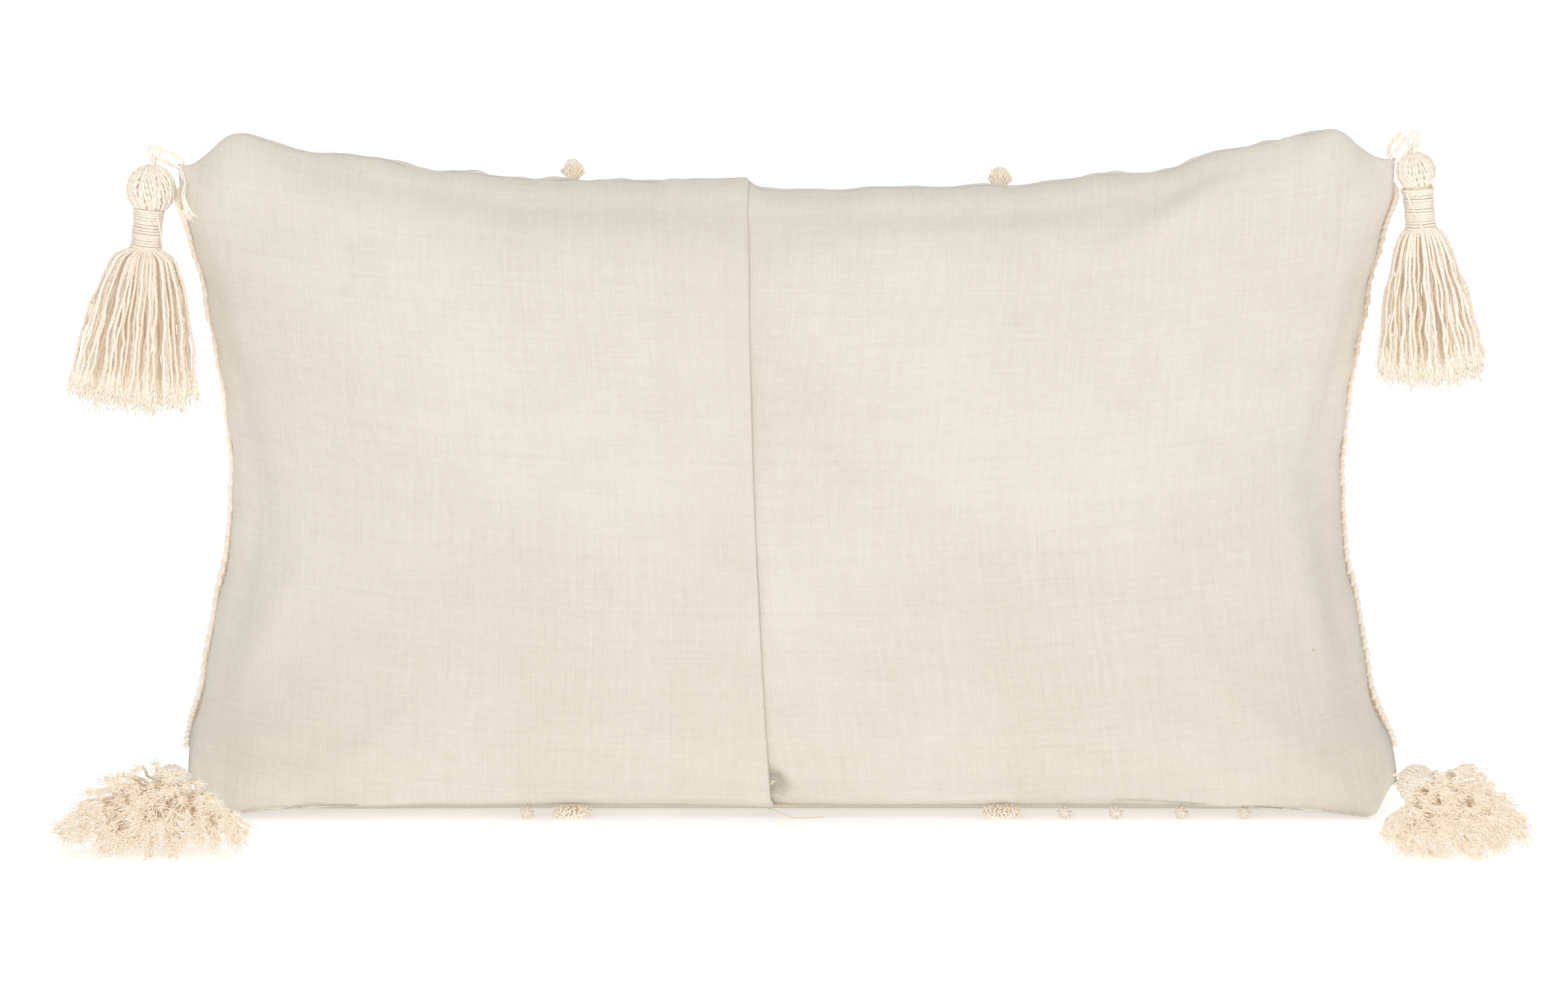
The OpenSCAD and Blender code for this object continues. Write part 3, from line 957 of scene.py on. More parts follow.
    def surface(
        self,
        u: Array | float,
        v: Array | float,
        side: Side,
        depth: Array | float = 0.0,
        edge: Array | float = 0.0,
        rest: Array | float = 0.0,
        lift: Array | float = 0.0,
    ) -> Array:
        """Points of a ply of cloth, with its wrinkles.

        Args:
            u: place along the pillow.
            v: place up the pillow.
            side: Side of the pillow.
            depth: how far the ply lies inside the outer face.
            edge: how far the ply stops inside the seam line.
            rest: height of the ply where the pillow stands on it.
            lift: how far the ply stands off on its own.

        Returns:
            An array of points.
        """
        u, v = np.broadcast_arrays(np.asarray(u, float), np.asarray(v, float))
        outer = self.shape.skin(u, v, side.value)
        base = self.shape.skin(u, v, side.value, depth, edge, rest)
        relief = self.relief(u, v, side, outer) + lift
        points = base + self.shape.normal(u, v, side.value) * relief[..., None]
        points[..., 2] = np.maximum(points[..., 2], rest)
        return points


# ---------------------------------------------------------------- mesh pieces


def even_lines(start: float, stop: float, step: float, crowd: float = 0.0) -> Array:
    """Places from start to stop, closer together towards both ends if crowd is above 0.

    Args:
        start: first place.
        stop: last place.
        step: distance between places.
        crowd: how much closer the ends are.

    Returns:
        The places.
    """
    count = max(2, int(round(abs(stop - start) / step)))
    t = np.linspace(-1, 1, count + 1)
    t = (1 - crowd) * t + crowd * np.sin(t * math.pi / 2)
    return start + (stop - start) * (t + 1) / 2


def link(name: str, mesh: bpy.types.Mesh) -> bpy.types.Object:
    """Adds a mesh to the scene as an object.

    Args:
        name: name of the object.
        mesh: the mesh.

    Returns:
        The object.
    """
    thing = bpy.data.objects.new(name, mesh)
    bpy.context.scene.collection.objects.link(thing)
    return thing


class Piece:
    """A visible piece: how it is put on a body, and what it stands for."""

    def __init__(
        self, thing: bpy.types.Object, body: str, slot: Slot, material: bpy.types.Material, nodes: tuple = ()
    ) -> None:
        """Puts the object on its body with its material, and hides the nodes that it replaces.

        Args:
            thing: the object.
            body: name of the body.
            slot: material slot of the record; not used.
            material: the material.
            nodes: CAD nodes that it stands for.
        """
        self.thing = thing
        thing.data.materials.clear()
        thing.data.materials.append(material)
        for polygon in thing.data.polygons:
            polygon.material_index = 0
        thing.data.shade_smooth()
        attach(thing, body)
        if nodes:
            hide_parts(*nodes)
        LOG.info("%s rides %s", thing.name, body)


def sheet_mesh(name: str, points: Array, turned: bool, doubled: Array | None = None) -> bpy.types.Mesh:
    """A grid of cloth with a UV map in metres along its threads.

    Args:
        name: name of the mesh.
        points: grid of points.
        turned: whether the faces turn the other way.
        doubled: 1 where the cloth is double, for each point.

    Returns:
        The mesh.
    """
    rows, columns = points.shape[:2]
    ids = np.arange(rows * columns).reshape(rows, columns)
    faces = grid_faces(ids, turned)
    mesh = bpy.data.meshes.new(name)
    mesh.from_pydata(points.reshape(-1, 3).tolist(), [], faces.tolist())
    across = np.zeros((rows, columns))
    across[1:] = np.cumsum(np.linalg.norm(np.diff(points, axis=0), axis=-1), axis=0)
    across -= across[rows // 2]
    upward = np.zeros((rows, columns))
    upward[:, 1:] = np.cumsum(np.linalg.norm(np.diff(points, axis=1), axis=-1), axis=1)
    upward -= upward[:, columns // 2 : columns // 2 + 1]
    flat = np.stack([across, upward], -1).reshape(-1, 2)
    layer = mesh.uv_layers.new(name="cloth")
    layer.data.foreach_set("uv", flat[faces.reshape(-1)].ravel().astype(np.float32))
    double = np.zeros(rows * columns) if doubled is None else np.asarray(doubled, float).ravel()
    mesh.attributes.new("doubled", "FLOAT", "POINT").data.foreach_set("value", double.astype(np.float32))
    return mesh


def thicken(thing: bpy.types.Object, thickness: float) -> None:
    """Gives a sheet its thickness, inwards, and keeps it in the mesh.

    Args:
        thing: the object.
        thickness: thickness of the cloth.
    """
    modifier = thing.modifiers.new("Cloth thickness", "SOLIDIFY")
    modifier.thickness = thickness
    modifier.offset = -1
    modifier.use_even_offset = False
    settle(thing)


def settle(thing: bpy.types.Object) -> None:
    """Replaces an object's mesh by its evaluated mesh, and drops its modifiers.

    Args:
        thing: the object.
    """
    evaluated = thing.evaluated_get(bpy.context.evaluated_depsgraph_get())
    mesh = bpy.data.meshes.new_from_object(evaluated)
    thing.modifiers.clear()
    thing.data = mesh


@dataclass
class Strands:
    """A set of yarn paths with a thickness and a shade at each point."""

    paths: list = field(default_factory=list)
    girths: list = field(default_factory=list)
    shades: list = field(default_factory=list)
    closed: list = field(default_factory=list)

    def add(self, path: Array, girth: Array | float, shade: float = 0.5, closed: bool = False) -> None:
        """Adds one path.

        Args:
            path: points of the path.
            girth: radius of the yarn, for each point or for all.
            shade: lightness of the yarn; above 1 it also turns on the yarn's stronger painted glow.
            closed: whether the end joins the start.
        """
        path = np.asarray(path, float)
        self.paths.append(path)
        self.girths.append(np.broadcast_to(np.asarray(girth, float), len(path)))
        self.shades.append(np.full(len(path), float(shade)))
        self.closed.append(closed)

    def fray(
        self,
        path: Array,
        rng: np.random.Generator,
        girth: float,
        count: int,
        length: float,
        spread: float,
        lowest: float | None = None,
    ) -> None:
        """Opens the end of a path into loose fibres.

        Args:
            path: points of the path.
            rng: source of random numbers.
            girth: radius of a fibre.
            count: number of fibres.
            length: length of the frayed end.
            spread: how far the fibres open.
            lowest: lowest height allowed.
        """
        steps = np.linalg.norm(np.diff(path, axis=0), axis=-1)
        keep = np.cumsum(steps[::-1]) < length
        root = path[-2 - int(keep.sum())] if keep.sum() + 2 <= len(path) else path[0]
        end = path[-1]
        way = unit(end - root)
        side = unit(np.cross(way, [0.3, 0.9, 0.2]))
        other = np.cross(way, side)
        reach = np.linalg.norm(end - root) * rng.uniform(0.85, 1.35, count)
        for i in range(count):
            turn = 2 * math.pi * (i + rng.uniform(0, 1)) / count
            out = (side * math.cos(turn) + other * math.sin(turn)) * spread * rng.uniform(0.3, 1.0)
            t = np.linspace(0, 1, 6)[:, None]
            curl = np.sin(t * rng.uniform(3, 7) + rng.uniform(0, 6)) * spread * 0.25
            fibre = root + way * reach[i] * t + out * t**1.4 + curl * t * (side + other)
            if lowest is not None:
                fibre[:, 2] = np.maximum(fibre[:, 2], lowest)
            # shade 1.2 marks the fibres for the yarn's stronger painted glow
            self.add(fibre, girth * np.linspace(1, 0.6, 6), 1.2)

    def mesh(self, name: str) -> bpy.types.Mesh:
        """One mesh of edges, with the attributes that the yarn tree reads.

        Args:
            name: name of the mesh.

        Returns:
            The mesh.
        """
        edges, offset = [], 0
        for path, closed in zip(self.paths, self.closed):
            n = len(path)
            edges += [(offset + i, offset + i + 1) for i in range(n - 1)]
            if closed:
                edges.append((offset + n - 1, offset))
            offset += n
        mesh = bpy.data.meshes.new(name)
        mesh.from_pydata(np.concatenate(self.paths).tolist(), edges, [])
        for key, values in (("girth", self.girths), ("shade", self.shades)):
            layer = mesh.attributes.new(key, "FLOAT", "POINT")
            layer.data.foreach_set("value", np.concatenate(values).astype(np.float32))
        return mesh


class YarnTree:
    """Geometry nodes that spin yarn along paths."""

    INPUTS = {
        "Step": ("NodeSocketFloat", 0.0015),
        "Twist": ("NodeSocketFloat", 900.0),
        "Lobe": ("NodeSocketFloat", 0.16),
        "Sides": ("NodeSocketInt", 8),
        "Yarn": ("NodeSocketMaterial", None),
    }

    def __init__(self) -> None:
        """Builds the node tree."""
        tree = bpy.data.node_groups.new("Yarn along paths", "GeometryNodeTree")
        self.tree = tree
        face = tree.interface
        face.new_socket("Geometry", in_out="INPUT", socket_type="NodeSocketGeometry")
        self.ids = {}
        for name, (kind, default) in self.INPUTS.items():
            socket = face.new_socket(name, in_out="INPUT", socket_type=kind)
            if default is not None:
                socket.default_value = default
            self.ids[name] = socket.identifier
        face.new_socket("Geometry", in_out="OUTPUT", socket_type="NodeSocketGeometry")
        given = self.node("NodeGroupInput")

        curve = self.node("GeometryNodeMeshToCurve", {"Mesh": given.outputs["Geometry"]})
        curve = self.node(
            "GeometryNodeCurveSplineType", {"Curve": curve.outputs[0]}, spline_type="CATMULL_ROM"
        )
        curve = self.node(
            "GeometryNodeResampleCurve",
            {"Curve": curve.outputs[0], "Length": given.outputs["Step"]},
            mode="LENGTH",
        )
        girth = self.node("GeometryNodeInputNamedAttribute", {"Name": "girth"}, data_type="FLOAT")
        curve = self.node(
            "GeometryNodeSetCurveRadius", {"Curve": curve.outputs[0], "Radius": girth.outputs["Attribute"]}
        )
        spline = self.node("GeometryNodeSplineParameter")
        tilt = self.node(
            "ShaderNodeMath", {0: spline.outputs["Length"], 1: given.outputs["Twist"]}, operation="MULTIPLY"
        )
        curve = self.node("GeometryNodeSetCurveTilt", {"Curve": curve.outputs[0], "Tilt": tilt.outputs[0]})
        curve = self.store(curve, "along", spline.outputs["Length"])

        ring = self.node(
            "GeometryNodeCurvePrimitiveCircle", {"Resolution": given.outputs["Sides"], "Radius": 1.0}
        )
        factor = self.node("GeometryNodeSplineParameter")
        wave = self.node(
            "ShaderNodeMath", {0: factor.outputs["Factor"], 1: 4 * math.pi}, operation="MULTIPLY"
        )
        wave = self.node("ShaderNodeMath", {0: wave.outputs[0]}, operation="COSINE")
        wave = self.node(
            "ShaderNodeMath",
            {0: wave.outputs[0], 1: given.outputs["Lobe"], 2: 1.0},
            operation="MULTIPLY_ADD",
        )
        place = self.node("GeometryNodeInputPosition")
        scaled = self.node(
            "ShaderNodeVectorMath", {0: place.outputs[0], "Scale": wave.outputs[0]}, operation="SCALE"
        )
        ring = self.store(ring, "around", factor.outputs["Factor"])
        ring = self.node(
            "GeometryNodeSetPosition", {"Geometry": ring.outputs[0], "Position": scaled.outputs[0]}
        )
        body = self.node(
            "GeometryNodeCurveToMesh", {"Curve": curve.outputs[0], "Profile Curve": ring.outputs[0]}
        )
        body.inputs["Fill Caps"].default_value = True
        if "Scale" in body.inputs:
            tree.links.new(girth.outputs["Attribute"], body.inputs["Scale"])
        body = self.node(
            "GeometryNodeSetMaterial", {"Geometry": body.outputs[0], "Material": given.outputs["Yarn"]}
        )
        body = self.node("GeometryNodeRealizeInstances", {"Geometry": body.outputs[0]})
        self.node("NodeGroupOutput", {"Geometry": body.outputs[0]})

    def node(self, kind: str, inputs: dict | None = None, **settings: object) -> bpy.types.Node:
        """Adds a node with its settings, and links or sets its inputs.

        Args:
            kind: node type name.
            inputs: values by input name or index.
            settings: properties of the node.

        Returns:
            The node.
        """
        made = self.tree.nodes.new(kind)
        for key, value in settings.items():
            setattr(made, key, value)
        for key, value in (inputs or {}).items():
            if isinstance(value, bpy.types.NodeSocket):
                self.tree.links.new(value, made.inputs[key])
            else:
                made.inputs[key].default_value = value
        return made

    def store(self, geometry: bpy.types.Node, name: str, value: bpy.types.NodeSocket) -> bpy.types.Node:
        """Stores a number on the points of a curve.

        Args:
            geometry: node that gives the curve.
            name: name of the attribute.
            value: the number to store.

        Returns:
            The node.
        """
        made = self.node("GeometryNodeStoreNamedAttribute", data_type="FLOAT", domain="POINT")
        made.inputs["Name"].default_value = name
        self.tree.links.new(geometry.outputs[0], made.inputs["Geometry"])
        self.tree.links.new(value, made.inputs["Value"])
        return made

    def spin(
        self, name: str, strands: Strands, material: bpy.types.Material, **inputs: float
    ) -> bpy.types.Object:
        """Spins a set of strands into one mesh object.

        Args:
            name: name of the object.
            strands: the paths.
            material: the yarn's material.
            inputs: values for the tree's inputs.

        Returns:
            The object, with no modifier left.
        """
        thing = link(name, strands.mesh(name))
        modifier = thing.modifiers.new("Yarn", "NODES")
        modifier.node_group = self.tree
        for key, value in {**inputs, "Yarn": material}.items():
            modifier[self.ids[key]] = value
        thing.update_tag()
        bpy.context.view_layer.update()
        settle(thing)
        LOG.info("%s: %d faces", name, len(thing.data.polygons))
        return thing


# ---------------------------------------------------------------- sub-assemblies


@dataclass
class Kit:
    """What every sub-assembly shares."""

    cover: Cover
    yarn: YarnTree
    cotton: bpy.types.Material
    cream: bpy.types.Material
    thread: bpy.types.Material
    lining: bpy.types.Material
    wadding: bpy.types.Material

    def piece(self, thing: bpy.types.Object, body: str, slot: Slot, *nodes: str) -> bpy.types.Object:
        """Puts a piece on its body, with the slot's material.

        Args:
            thing: the object.
            body: name of the body.
            slot: material slot of the record.
            nodes: CAD nodes that it stands for.

        Returns:
            The object.
        """
        material = {
            Slot.COTTON: self.cotton, Slot.YARN: self.cream, Slot.THREAD: self.thread,
            Slot.LINING: self.lining, Slot.WADDING: self.wadding,
        }[slot]
        return Piece(thing, body, slot, material, nodes).thing


@dataclass
class CoverPanels:
    """The three panels of the cover, with their hems."""

    kit: Kit
    step: float = 2.6 * MM
    cloth: float = 0.9 * MM
    hem: float = 43 * MM
    overlap: float = 115 * MM

    def lines(self) -> Array:
        """Rows up the pillow, closer at the seams."""
        return even_lines(-1, 1, 0.0155, 0.75)

    def build(self) -> None:
        """Builds the panels."""
        self.front()
        self.flap()
        self.under()

    def declare(
        self,
        name: str,
        points: Array,
        turned: bool,
        nodes: list,
        doubled: Array | None = None,
    ) -> None:
        """Makes a sheet of cloth, gives it its thickness and puts it on the cushion.

        Args:
            name: name of the sheet.
            points: grid of points.
            turned: whether the faces turn the other way.
            nodes: CAD nodes that the sheet stands for.
            doubled: 1 where the cloth is double, for each point.
        """
        thing = link(name, sheet_mesh(name, points, turned, doubled))
        thicken(thing, self.cloth)
        self.kit.piece(thing, "cushion", Slot.COTTON, *nodes)

    def front(self) -> None:
        """The decorated panel."""
        u, v = np.meshgrid(even_lines(-1, 1, self.step / HALF_LENGTH, 0.6), self.lines(), indexing="ij")
        points = self.kit.cover.surface(u, v, Side.FRONT)
        self.declare("front_cloth", points, True, ["front_panel"])

    def flap_lift(self, x: Array | float, v: Array | float, z: Array | float) -> Array:
        """How far the flap stands off the panel below it.

        Args:
            x: distance along +X.
            v: place up the pillow.
            z: height.

        Returns:
            The distance outward.
        """
        free = self.kit.cover.shape.flap_x(v)
        hem = smooth((x - free + self.hem + 0.003) / 0.006)
        edge = np.exp(-(((free - x) / 0.011) ** 2))
        wave = 0.35 + 0.3 * Ripple(71, 0.09)(z) + 0.9 * np.exp(-(((z - 0.016) / 0.014) ** 2))
        top = smooth((v - 0.93) / 0.07)
        return 0.0007 * hem + 0.0009 * hem * top + 0.0009 * edge * np.clip(wave, 0, None)

    def flap(self) -> None:
        """The flap and its folded hem, as one sheet that turns back on itself."""
        shape = self.kit.cover.shape
        rows = self.lines()
        fold = 1.25 * MM
        turn = np.linspace(0, math.pi, 7)
        columns, depths, width = [], [], 0
        hem_places = even_lines(-self.hem, -0.5 * MM, self.step)
        for v in rows:
            free = shape.flap_x(v)
            left = even_lines(-1, shape.u_at(free - self.hem, v), self.step / HALF_LENGTH)
            if columns and len(left) != width:
                left = np.interp(np.linspace(0, 1, width), np.linspace(0, 1, len(left)), left)
            width = len(left)
            t = np.linspace(0, 1, width)
            left = -1 + (left[-1] + 1) * (0.6 * t + 0.4 * (1 - np.cos(t * math.pi / 2)))
            hem = shape.u_at(free + hem_places[1:], v)
            bend = shape.u_at(free + fold * np.sin(turn) * 0.8, v)
            last = shape.u_at(free - self.hem, v)
            columns.append(np.concatenate([left, hem, bend, hem[::-1], [last]]))
            depths.append(
                np.concatenate([0 * left, 0 * hem, fold * (1 - np.cos(turn)), 0 * hem + 2 * fold, [2 * fold]])
            )
        u, depth = np.array(columns).T, np.array(depths).T
        v = np.broadcast_to(rows, u.shape)
        base = shape.skin(u, v, -1)
        lift = self.flap_lift(base[..., 0], v, base[..., 2])
        points = self.kit.cover.surface(u, v, Side.BACK, depth, depth * 0.9, depth * 0.5, lift)
        double = smooth((base[..., 0] - shape.flap_x(v) + self.hem + 0.001) / 0.002)
        nodes = ["back_flap_panel", "flap_hem"]
        self.declare("flap_cloth", points, False, nodes, double)

    def under(self) -> None:
        """The panel that runs on below the flap, with its own hem turned in."""
        shape = self.kit.cover.shape
        rows = self.lines()
        columns, depths = [], []
        hem_places = even_lines(0, self.hem, 2 * self.step)
        for v in rows:
            start = shape.flap_x(v) - self.overlap
            hem = shape.u_at(start + hem_places, v)
            t = np.linspace(0, 1, 152)[1:]
            rest = hem[0] + (1 - hem[0]) * (0.6 * t + 0.4 * np.sin(t * math.pi / 2))
            columns.append(np.concatenate([hem[::-1], [hem[0] - 0.002] * 2, [hem[0]], rest]))
            depths.append(
                np.concatenate([0 * hem + 2.2 * MM, [1.7 * MM, 0.6 * MM], [0], 0 * rest])
            )
        u, extra = np.array(columns).T, np.array(depths).T
        v = np.broadcast_to(rows, u.shape)
        base = shape.skin(u, v, -1)
        x, z = base[..., 0], base[..., 2]
        free = shape.flap_x(v)
        covered = 1 - smooth((x - free + 0.012) / 0.012)
        gap = np.exp(-(((x - free - 0.003) / 0.0050) ** 2) - (((z - 0.019) / 0.0065) ** 2))
        beside = np.exp(-(((x - free - 0.001) / 0.006) ** 2)) * (0.4 + 0.2 * Ripple(81, 0.07)(z))
        lift = -0.0085 * gap - 0.0009 * beside
        depth = 2.9 * MM * covered + 1.9 * MM * (1 - covered) + extra
        edge = (2.4 * MM + extra) * covered
        points = self.kit.cover.surface(u, v, Side.BACK, depth, edge, 1.2 * MM * covered + extra, lift)
        self.declare(
            "under_cloth", points, False, ["back_under_panel", "under_panel_hem"]
        )


@dataclass
class Insert:
    """The cushion inside the cover."""

    kit: Kit
    depth: float = 5.7 * MM
    edge: float = 14 * MM

    def points(self, side: Side, more: float = 0.0) -> Array:
        """Grid of one face of the insert.

        Args:
            side: side of the pillow.
            more: how much smaller than the insert's cloth.

        Returns:
            The grid of points.
        """
        u, v = np.meshgrid(even_lines(-1, 1, 0.02, 0.8), even_lines(-1, 1, 0.035, 0.8), indexing="ij")
        depth = self.depth + more
        return self.kit.cover.surface(u, v, side, depth, self.edge + more, depth)

    def build(self) -> None:
        """Builds both cloths and the filling."""
        for side, turned in ((Side.FRONT, True), (Side.BACK, False)):
            name = f"insert_{side.name.lower()}_cloth"
            thing = link(f"{name}_sewn", sheet_mesh(name, self.points(side), turned))
            thicken(thing, 0.6 * MM)
            self.kit.piece(thing, "cushion", Slot.LINING, name)
        self.filling()

    def filling(self) -> None:
        """The stuffing, as one closed form."""
        front, back = (self.points(side, 1.0 * MM) for side in (Side.FRONT, Side.BACK))
        _, _, faces = closed_grids(front.shape[:2])
        rim = (front + back) / 2
        front[[0, -1]], front[:, [0, -1]] = rim[[0, -1]], rim[:, [0, -1]]
        mesh = bpy.data.meshes.new("insert_stuffing")
        points = np.concatenate([front.reshape(-1, 3), back[1:-1, 1:-1].reshape(-1, 3)])
        mesh.from_pydata(points.tolist(), [], faces.tolist())
        thing = link("insert_stuffing", mesh)
        self.kit.piece(thing, "cushion", Slot.WADDING, "insert_filling")


class Lie(Enum):
    """How a tassel rests."""

    HANGING = "hanging"
    LYING = "lying"


@dataclass
class Tassel:
    """One tassel: its tie, ball, bound neck and skirt of loose strands."""

    kit: Kit
    corner: str
    anchor: tuple
    tip: tuple
    turn: tuple
    ball: float
    hem: float
    lie: Lie
    seed: int
    flare: float = 0.56
    strands: int = 120
    reach_lying: float = 50 * MM
    neck: float = 8 * MM
    neck_length: float = 24 * MM
    skirt: float = 68 * MM
    mound: float = 42 * MM

    def __post_init__(self) -> None:
        """Sets the tassel's random numbers, its turn and its body."""
        self.rng = np.random.default_rng(self.seed)
        euler = Euler([math.radians(a) for a in self.turn], "XYZ")
        self.matrix = np.array(euler.to_matrix())
        self.body = f"tassel_{self.corner}"

    def world(self, points: Array) -> Array:
        """Moves points from the tassel's own frame, where it hangs from 0, to the scene."""
        return np.asarray(points) @ self.matrix.T + np.asarray(self.anchor)

    @property
    def ball_z(self) -> float:
        """Height of the ball's middle in the tassel's own frame."""
        return -7.4 * MM - self.ball

    @property
    def neck_z(self) -> float:
        """Height of the top of the neck in the tassel's own frame."""
        return self.ball_z - 0.72 * self.ball

    def build(self) -> None:
        """Builds the whole tassel."""
        self.tie()
        self.head()
        self.binding()
        self.fringe()

    def tie(self) -> None:
        """The stitch in the corner, the tie loop and the eye of the tassel."""
        r, gap = 2.6 * MM, 2.2 * MM
        turn = np.linspace(0, 2 * math.pi, 17)[:-1]
        round_x, round_y = r * np.cos(turn), r * np.sin(turn)

        start, end = np.array(self.tip), np.array(self.anchor)
        way = unit(end - start)
        side = unit(np.cross(way, [0, 1, 0] if self.lie is Lie.HANGING else [0, 0, 1]))
        if self.lie is Lie.LYING:
            side = unit(np.cross(way, side))
        half = (np.linalg.norm(end - start) + 3 * MM) / 2
        middle = end - way * half
        stitch = Strands()
        for lean, bow in ((0.0, 1.0), (0.55 * MM, 0.82)):
            stretch = np.sign(np.cos(turn)) * np.maximum(half - r, 0)
            path = middle + np.outer(round_x + stretch, way) + np.outer(round_y * bow, side)
            path += np.cross(way, side) * lean
            stitch.add(path, 0.72 * MM, 0.8 - lean * 200, closed=True)
        thing = self.kit.yarn.spin(f"corner_yarn_{self.corner}", stitch, self.kit.cream, Step=0.7 * MM)
        self.kit.piece(thing, "cushion", Slot.YARN, f"corner_stitch_{self.corner}")

        long = np.sign(np.sin(turn)) * 1.1 * MM
        loop = Strands()
        for lean in (-0.45 * MM, 0.45 * MM):
            high = round_y + long + gap - 3.7 * MM
            path = np.stack([round_x * (1 + lean * 80), 0 * turn + lean, high], -1)
            loop.add(self.world(path), 0.62 * MM, 0.7, closed=True)
        thing = self.kit.yarn.spin(f"tie_yarn_{self.corner}", loop, self.kit.cream, Step=0.7 * MM)
        self.kit.piece(thing, f"loop_{self.corner}", Slot.YARN, f"tie_loop_{self.corner}")

        eye = Strands()
        for lean in (-0.5 * MM, 0.5 * MM):
            path = np.stack([0 * turn + lean, round_x, round_y - 5.6 * MM], -1)
            eye.add(self.world(path), 0.62 * MM, 0.7, closed=True)
        thing = self.kit.yarn.spin(f"eye_yarn_{self.corner}", eye, self.kit.cream, Step=0.7 * MM)
        self.kit.piece(thing, self.body, Slot.YARN, f"tassel_eye_{self.corner}")

    def head(self) -> None:
        """The ball: strands that run down over a core from its top."""
        strands = Strands()
        count = int(self.ball * 2 * math.pi / (1.45 * MM))
        for i in range(count):
            turn = 2 * math.pi * (i + self.rng.uniform(-0.16, 0.16)) / count
            a = np.linspace(0.10, 2.42, 13)
            radius = (self.ball - 0.9 * MM) * (1 + self.rng.uniform(-0.04, 0.05))
            swing = turn + 0.10 * np.sin(a * 2 + self.rng.uniform(0, 6)) + 0.22 * a
            ring = np.maximum(radius * np.sin(a), np.where(a > 1.6, 6.4 * MM, 0.6 * MM))
            path = np.stack(
                [ring * np.cos(swing), ring * np.sin(swing), self.ball_z + radius * np.cos(a) * 1.02], -1
            )
            strands.add(self.world(path), 0.86 * MM, self.rng.uniform(0.3, 1))
        z = np.linspace(0.94, -0.72, 12) * self.ball
        core = np.stack([0 * z, 0 * z, self.ball_z + z], -1)
        strands.add(self.world(core), np.sqrt(np.maximum(self.ball**2 - z**2, 1e-7)) * 0.88, 0.6)
        thing = self.kit.yarn.spin(f"ball_yarn_{self.corner}", strands, self.kit.cream, Step=1.3 * MM)
        self.kit.piece(thing, self.body, Slot.YARN, f"tassel_head_{self.corner}")

    def binding(self) -> None:
        """The thread wound round the neck."""
        turns = 18
        t = np.linspace(0, 1, turns * 16)
        wobble = Ripple(self.seed + 40, 0.21)(t)
        turn = 2 * math.pi * turns * t
        radius = self.neck - 0.75 * MM - 0.7 * MM * np.sin(math.pi * t) + 0.18 * MM * wobble
        path = np.stack(
            [
                radius * np.cos(turn), radius * np.sin(turn),
                self.neck_z - 0.6 * MM - (self.neck_length - 1.2 * MM) * (t + 0.010 * wobble),
            ],
            -1,
        )
        strands = Strands()
        strands.add(self.world(path), 0.76 * MM, 0.65)
        slip = self.rng.uniform(0, 6)
        cross = np.linspace(0, 1, 9)
        around = slip + 0.9 * cross
        over = (self.neck - 0.1 * MM) * np.stack([np.cos(around), np.sin(around)], -1)
        strands.add(
            self.world(np.column_stack([over, self.neck_z - self.neck_length * (0.12 + 0.75 * cross)])),
            0.6 * MM, 0.9,
        )
        core = np.linspace(0.4, -self.neck_length / MM - 1, 10) * MM
        strands.add(
            self.world(np.stack([0 * core, 0 * core, self.neck_z + core], -1)), self.neck - 1.9 * MM, 0.6
        )
        thing = self.kit.yarn.spin(
            f"neck_thread_{self.corner}", strands, self.kit.cream, Step=1.1 * MM, Sides=7
        )
        self.kit.piece(thing, self.body, Slot.YARN, f"neck_binding_{self.corner}")

    def strand(self, index: int) -> Array:
        """Path of one loose strand.

        Args:
            index: number of the strand.

        Returns:
            The path.
        """
        rng = self.rng
        rho = math.sqrt((index + 0.5) / self.strands)
        angle = index * GOLDEN_TURN + rng.uniform(-0.25, 0.25)
        t = np.linspace(0, 1, 17)
        wander = [np.cumsum(rng.normal(0, 1, 17)) for _ in range(2)]
        wander = [w - w[0] - (w[-1] - w[0]) * t * 0.45 for w in wander]
        crimp = rng.uniform(0.25, 0.6) * MM * np.sin(t * rng.uniform(14, 22) + rng.uniform(0, 6))
        crimp = crimp * smooth(t * 3)
        if self.lie is Lie.HANGING:
            reach = self.skirt * (1 + rng.normal(0, 0.035)) + (2.5 * MM if rho < 0.6 else 0)
            out = 6.0 * MM * rho + (self.hem * 0.96 - 6.0 * MM) * rho * t**self.flare
            x = out * np.cos(angle) + 0.6 * MM * wander[0] * t + crimp
            y = out * np.sin(angle) + 0.6 * MM * wander[1] * t - crimp
            size = np.hypot(x, y)
            cap = 6.2 * MM + (self.hem - 7.2 * MM) * t ** (0.9 * self.flare)
            squeeze = np.minimum(1, cap / np.maximum(size, 1e-6))
            z = -self.neck_length + 4 * MM - (reach + 4 * MM) * t + self.neck_z
            path = np.stack([x * squeeze, y * squeeze, z + 0 * x], -1)
            path = np.concatenate([path[:1] * [0.9, 0.9, 1] + [0, 0, 3 * MM], path])
            return self.world(path)
        reach = self.reach_lying * (1 + rng.normal(0, 0.06)) * (1.04 - 0.26 * rho**2)
        spread = smooth(t * 1.15) ** 0.8
        across, level = rho * math.cos(angle), rho * math.sin(angle)
        dome = math.sqrt(max(0.12, 1 - 0.85 * across**2))
        x = 6.0 * MM * across + (self.hem - 6 * MM) * across * spread + 0.9 * MM * wander[0] * t + crimp
        start = self.anchor[2] + 6.0 * MM * level
        end = 1.3 * MM + self.mound * dome * (0.5 + 0.5 * level)
        height = start + (end - start) * spread + 0.7 * MM * wander[1] * t + crimp
        z = -self.neck_length + 4 * MM - (reach + 4 * MM) * t + self.neck_z
        path = self.world(np.stack([x, 0 * x, z + 0 * x], -1))
        path[:, 2] = np.maximum(height, 1.2 * MM)
        return path

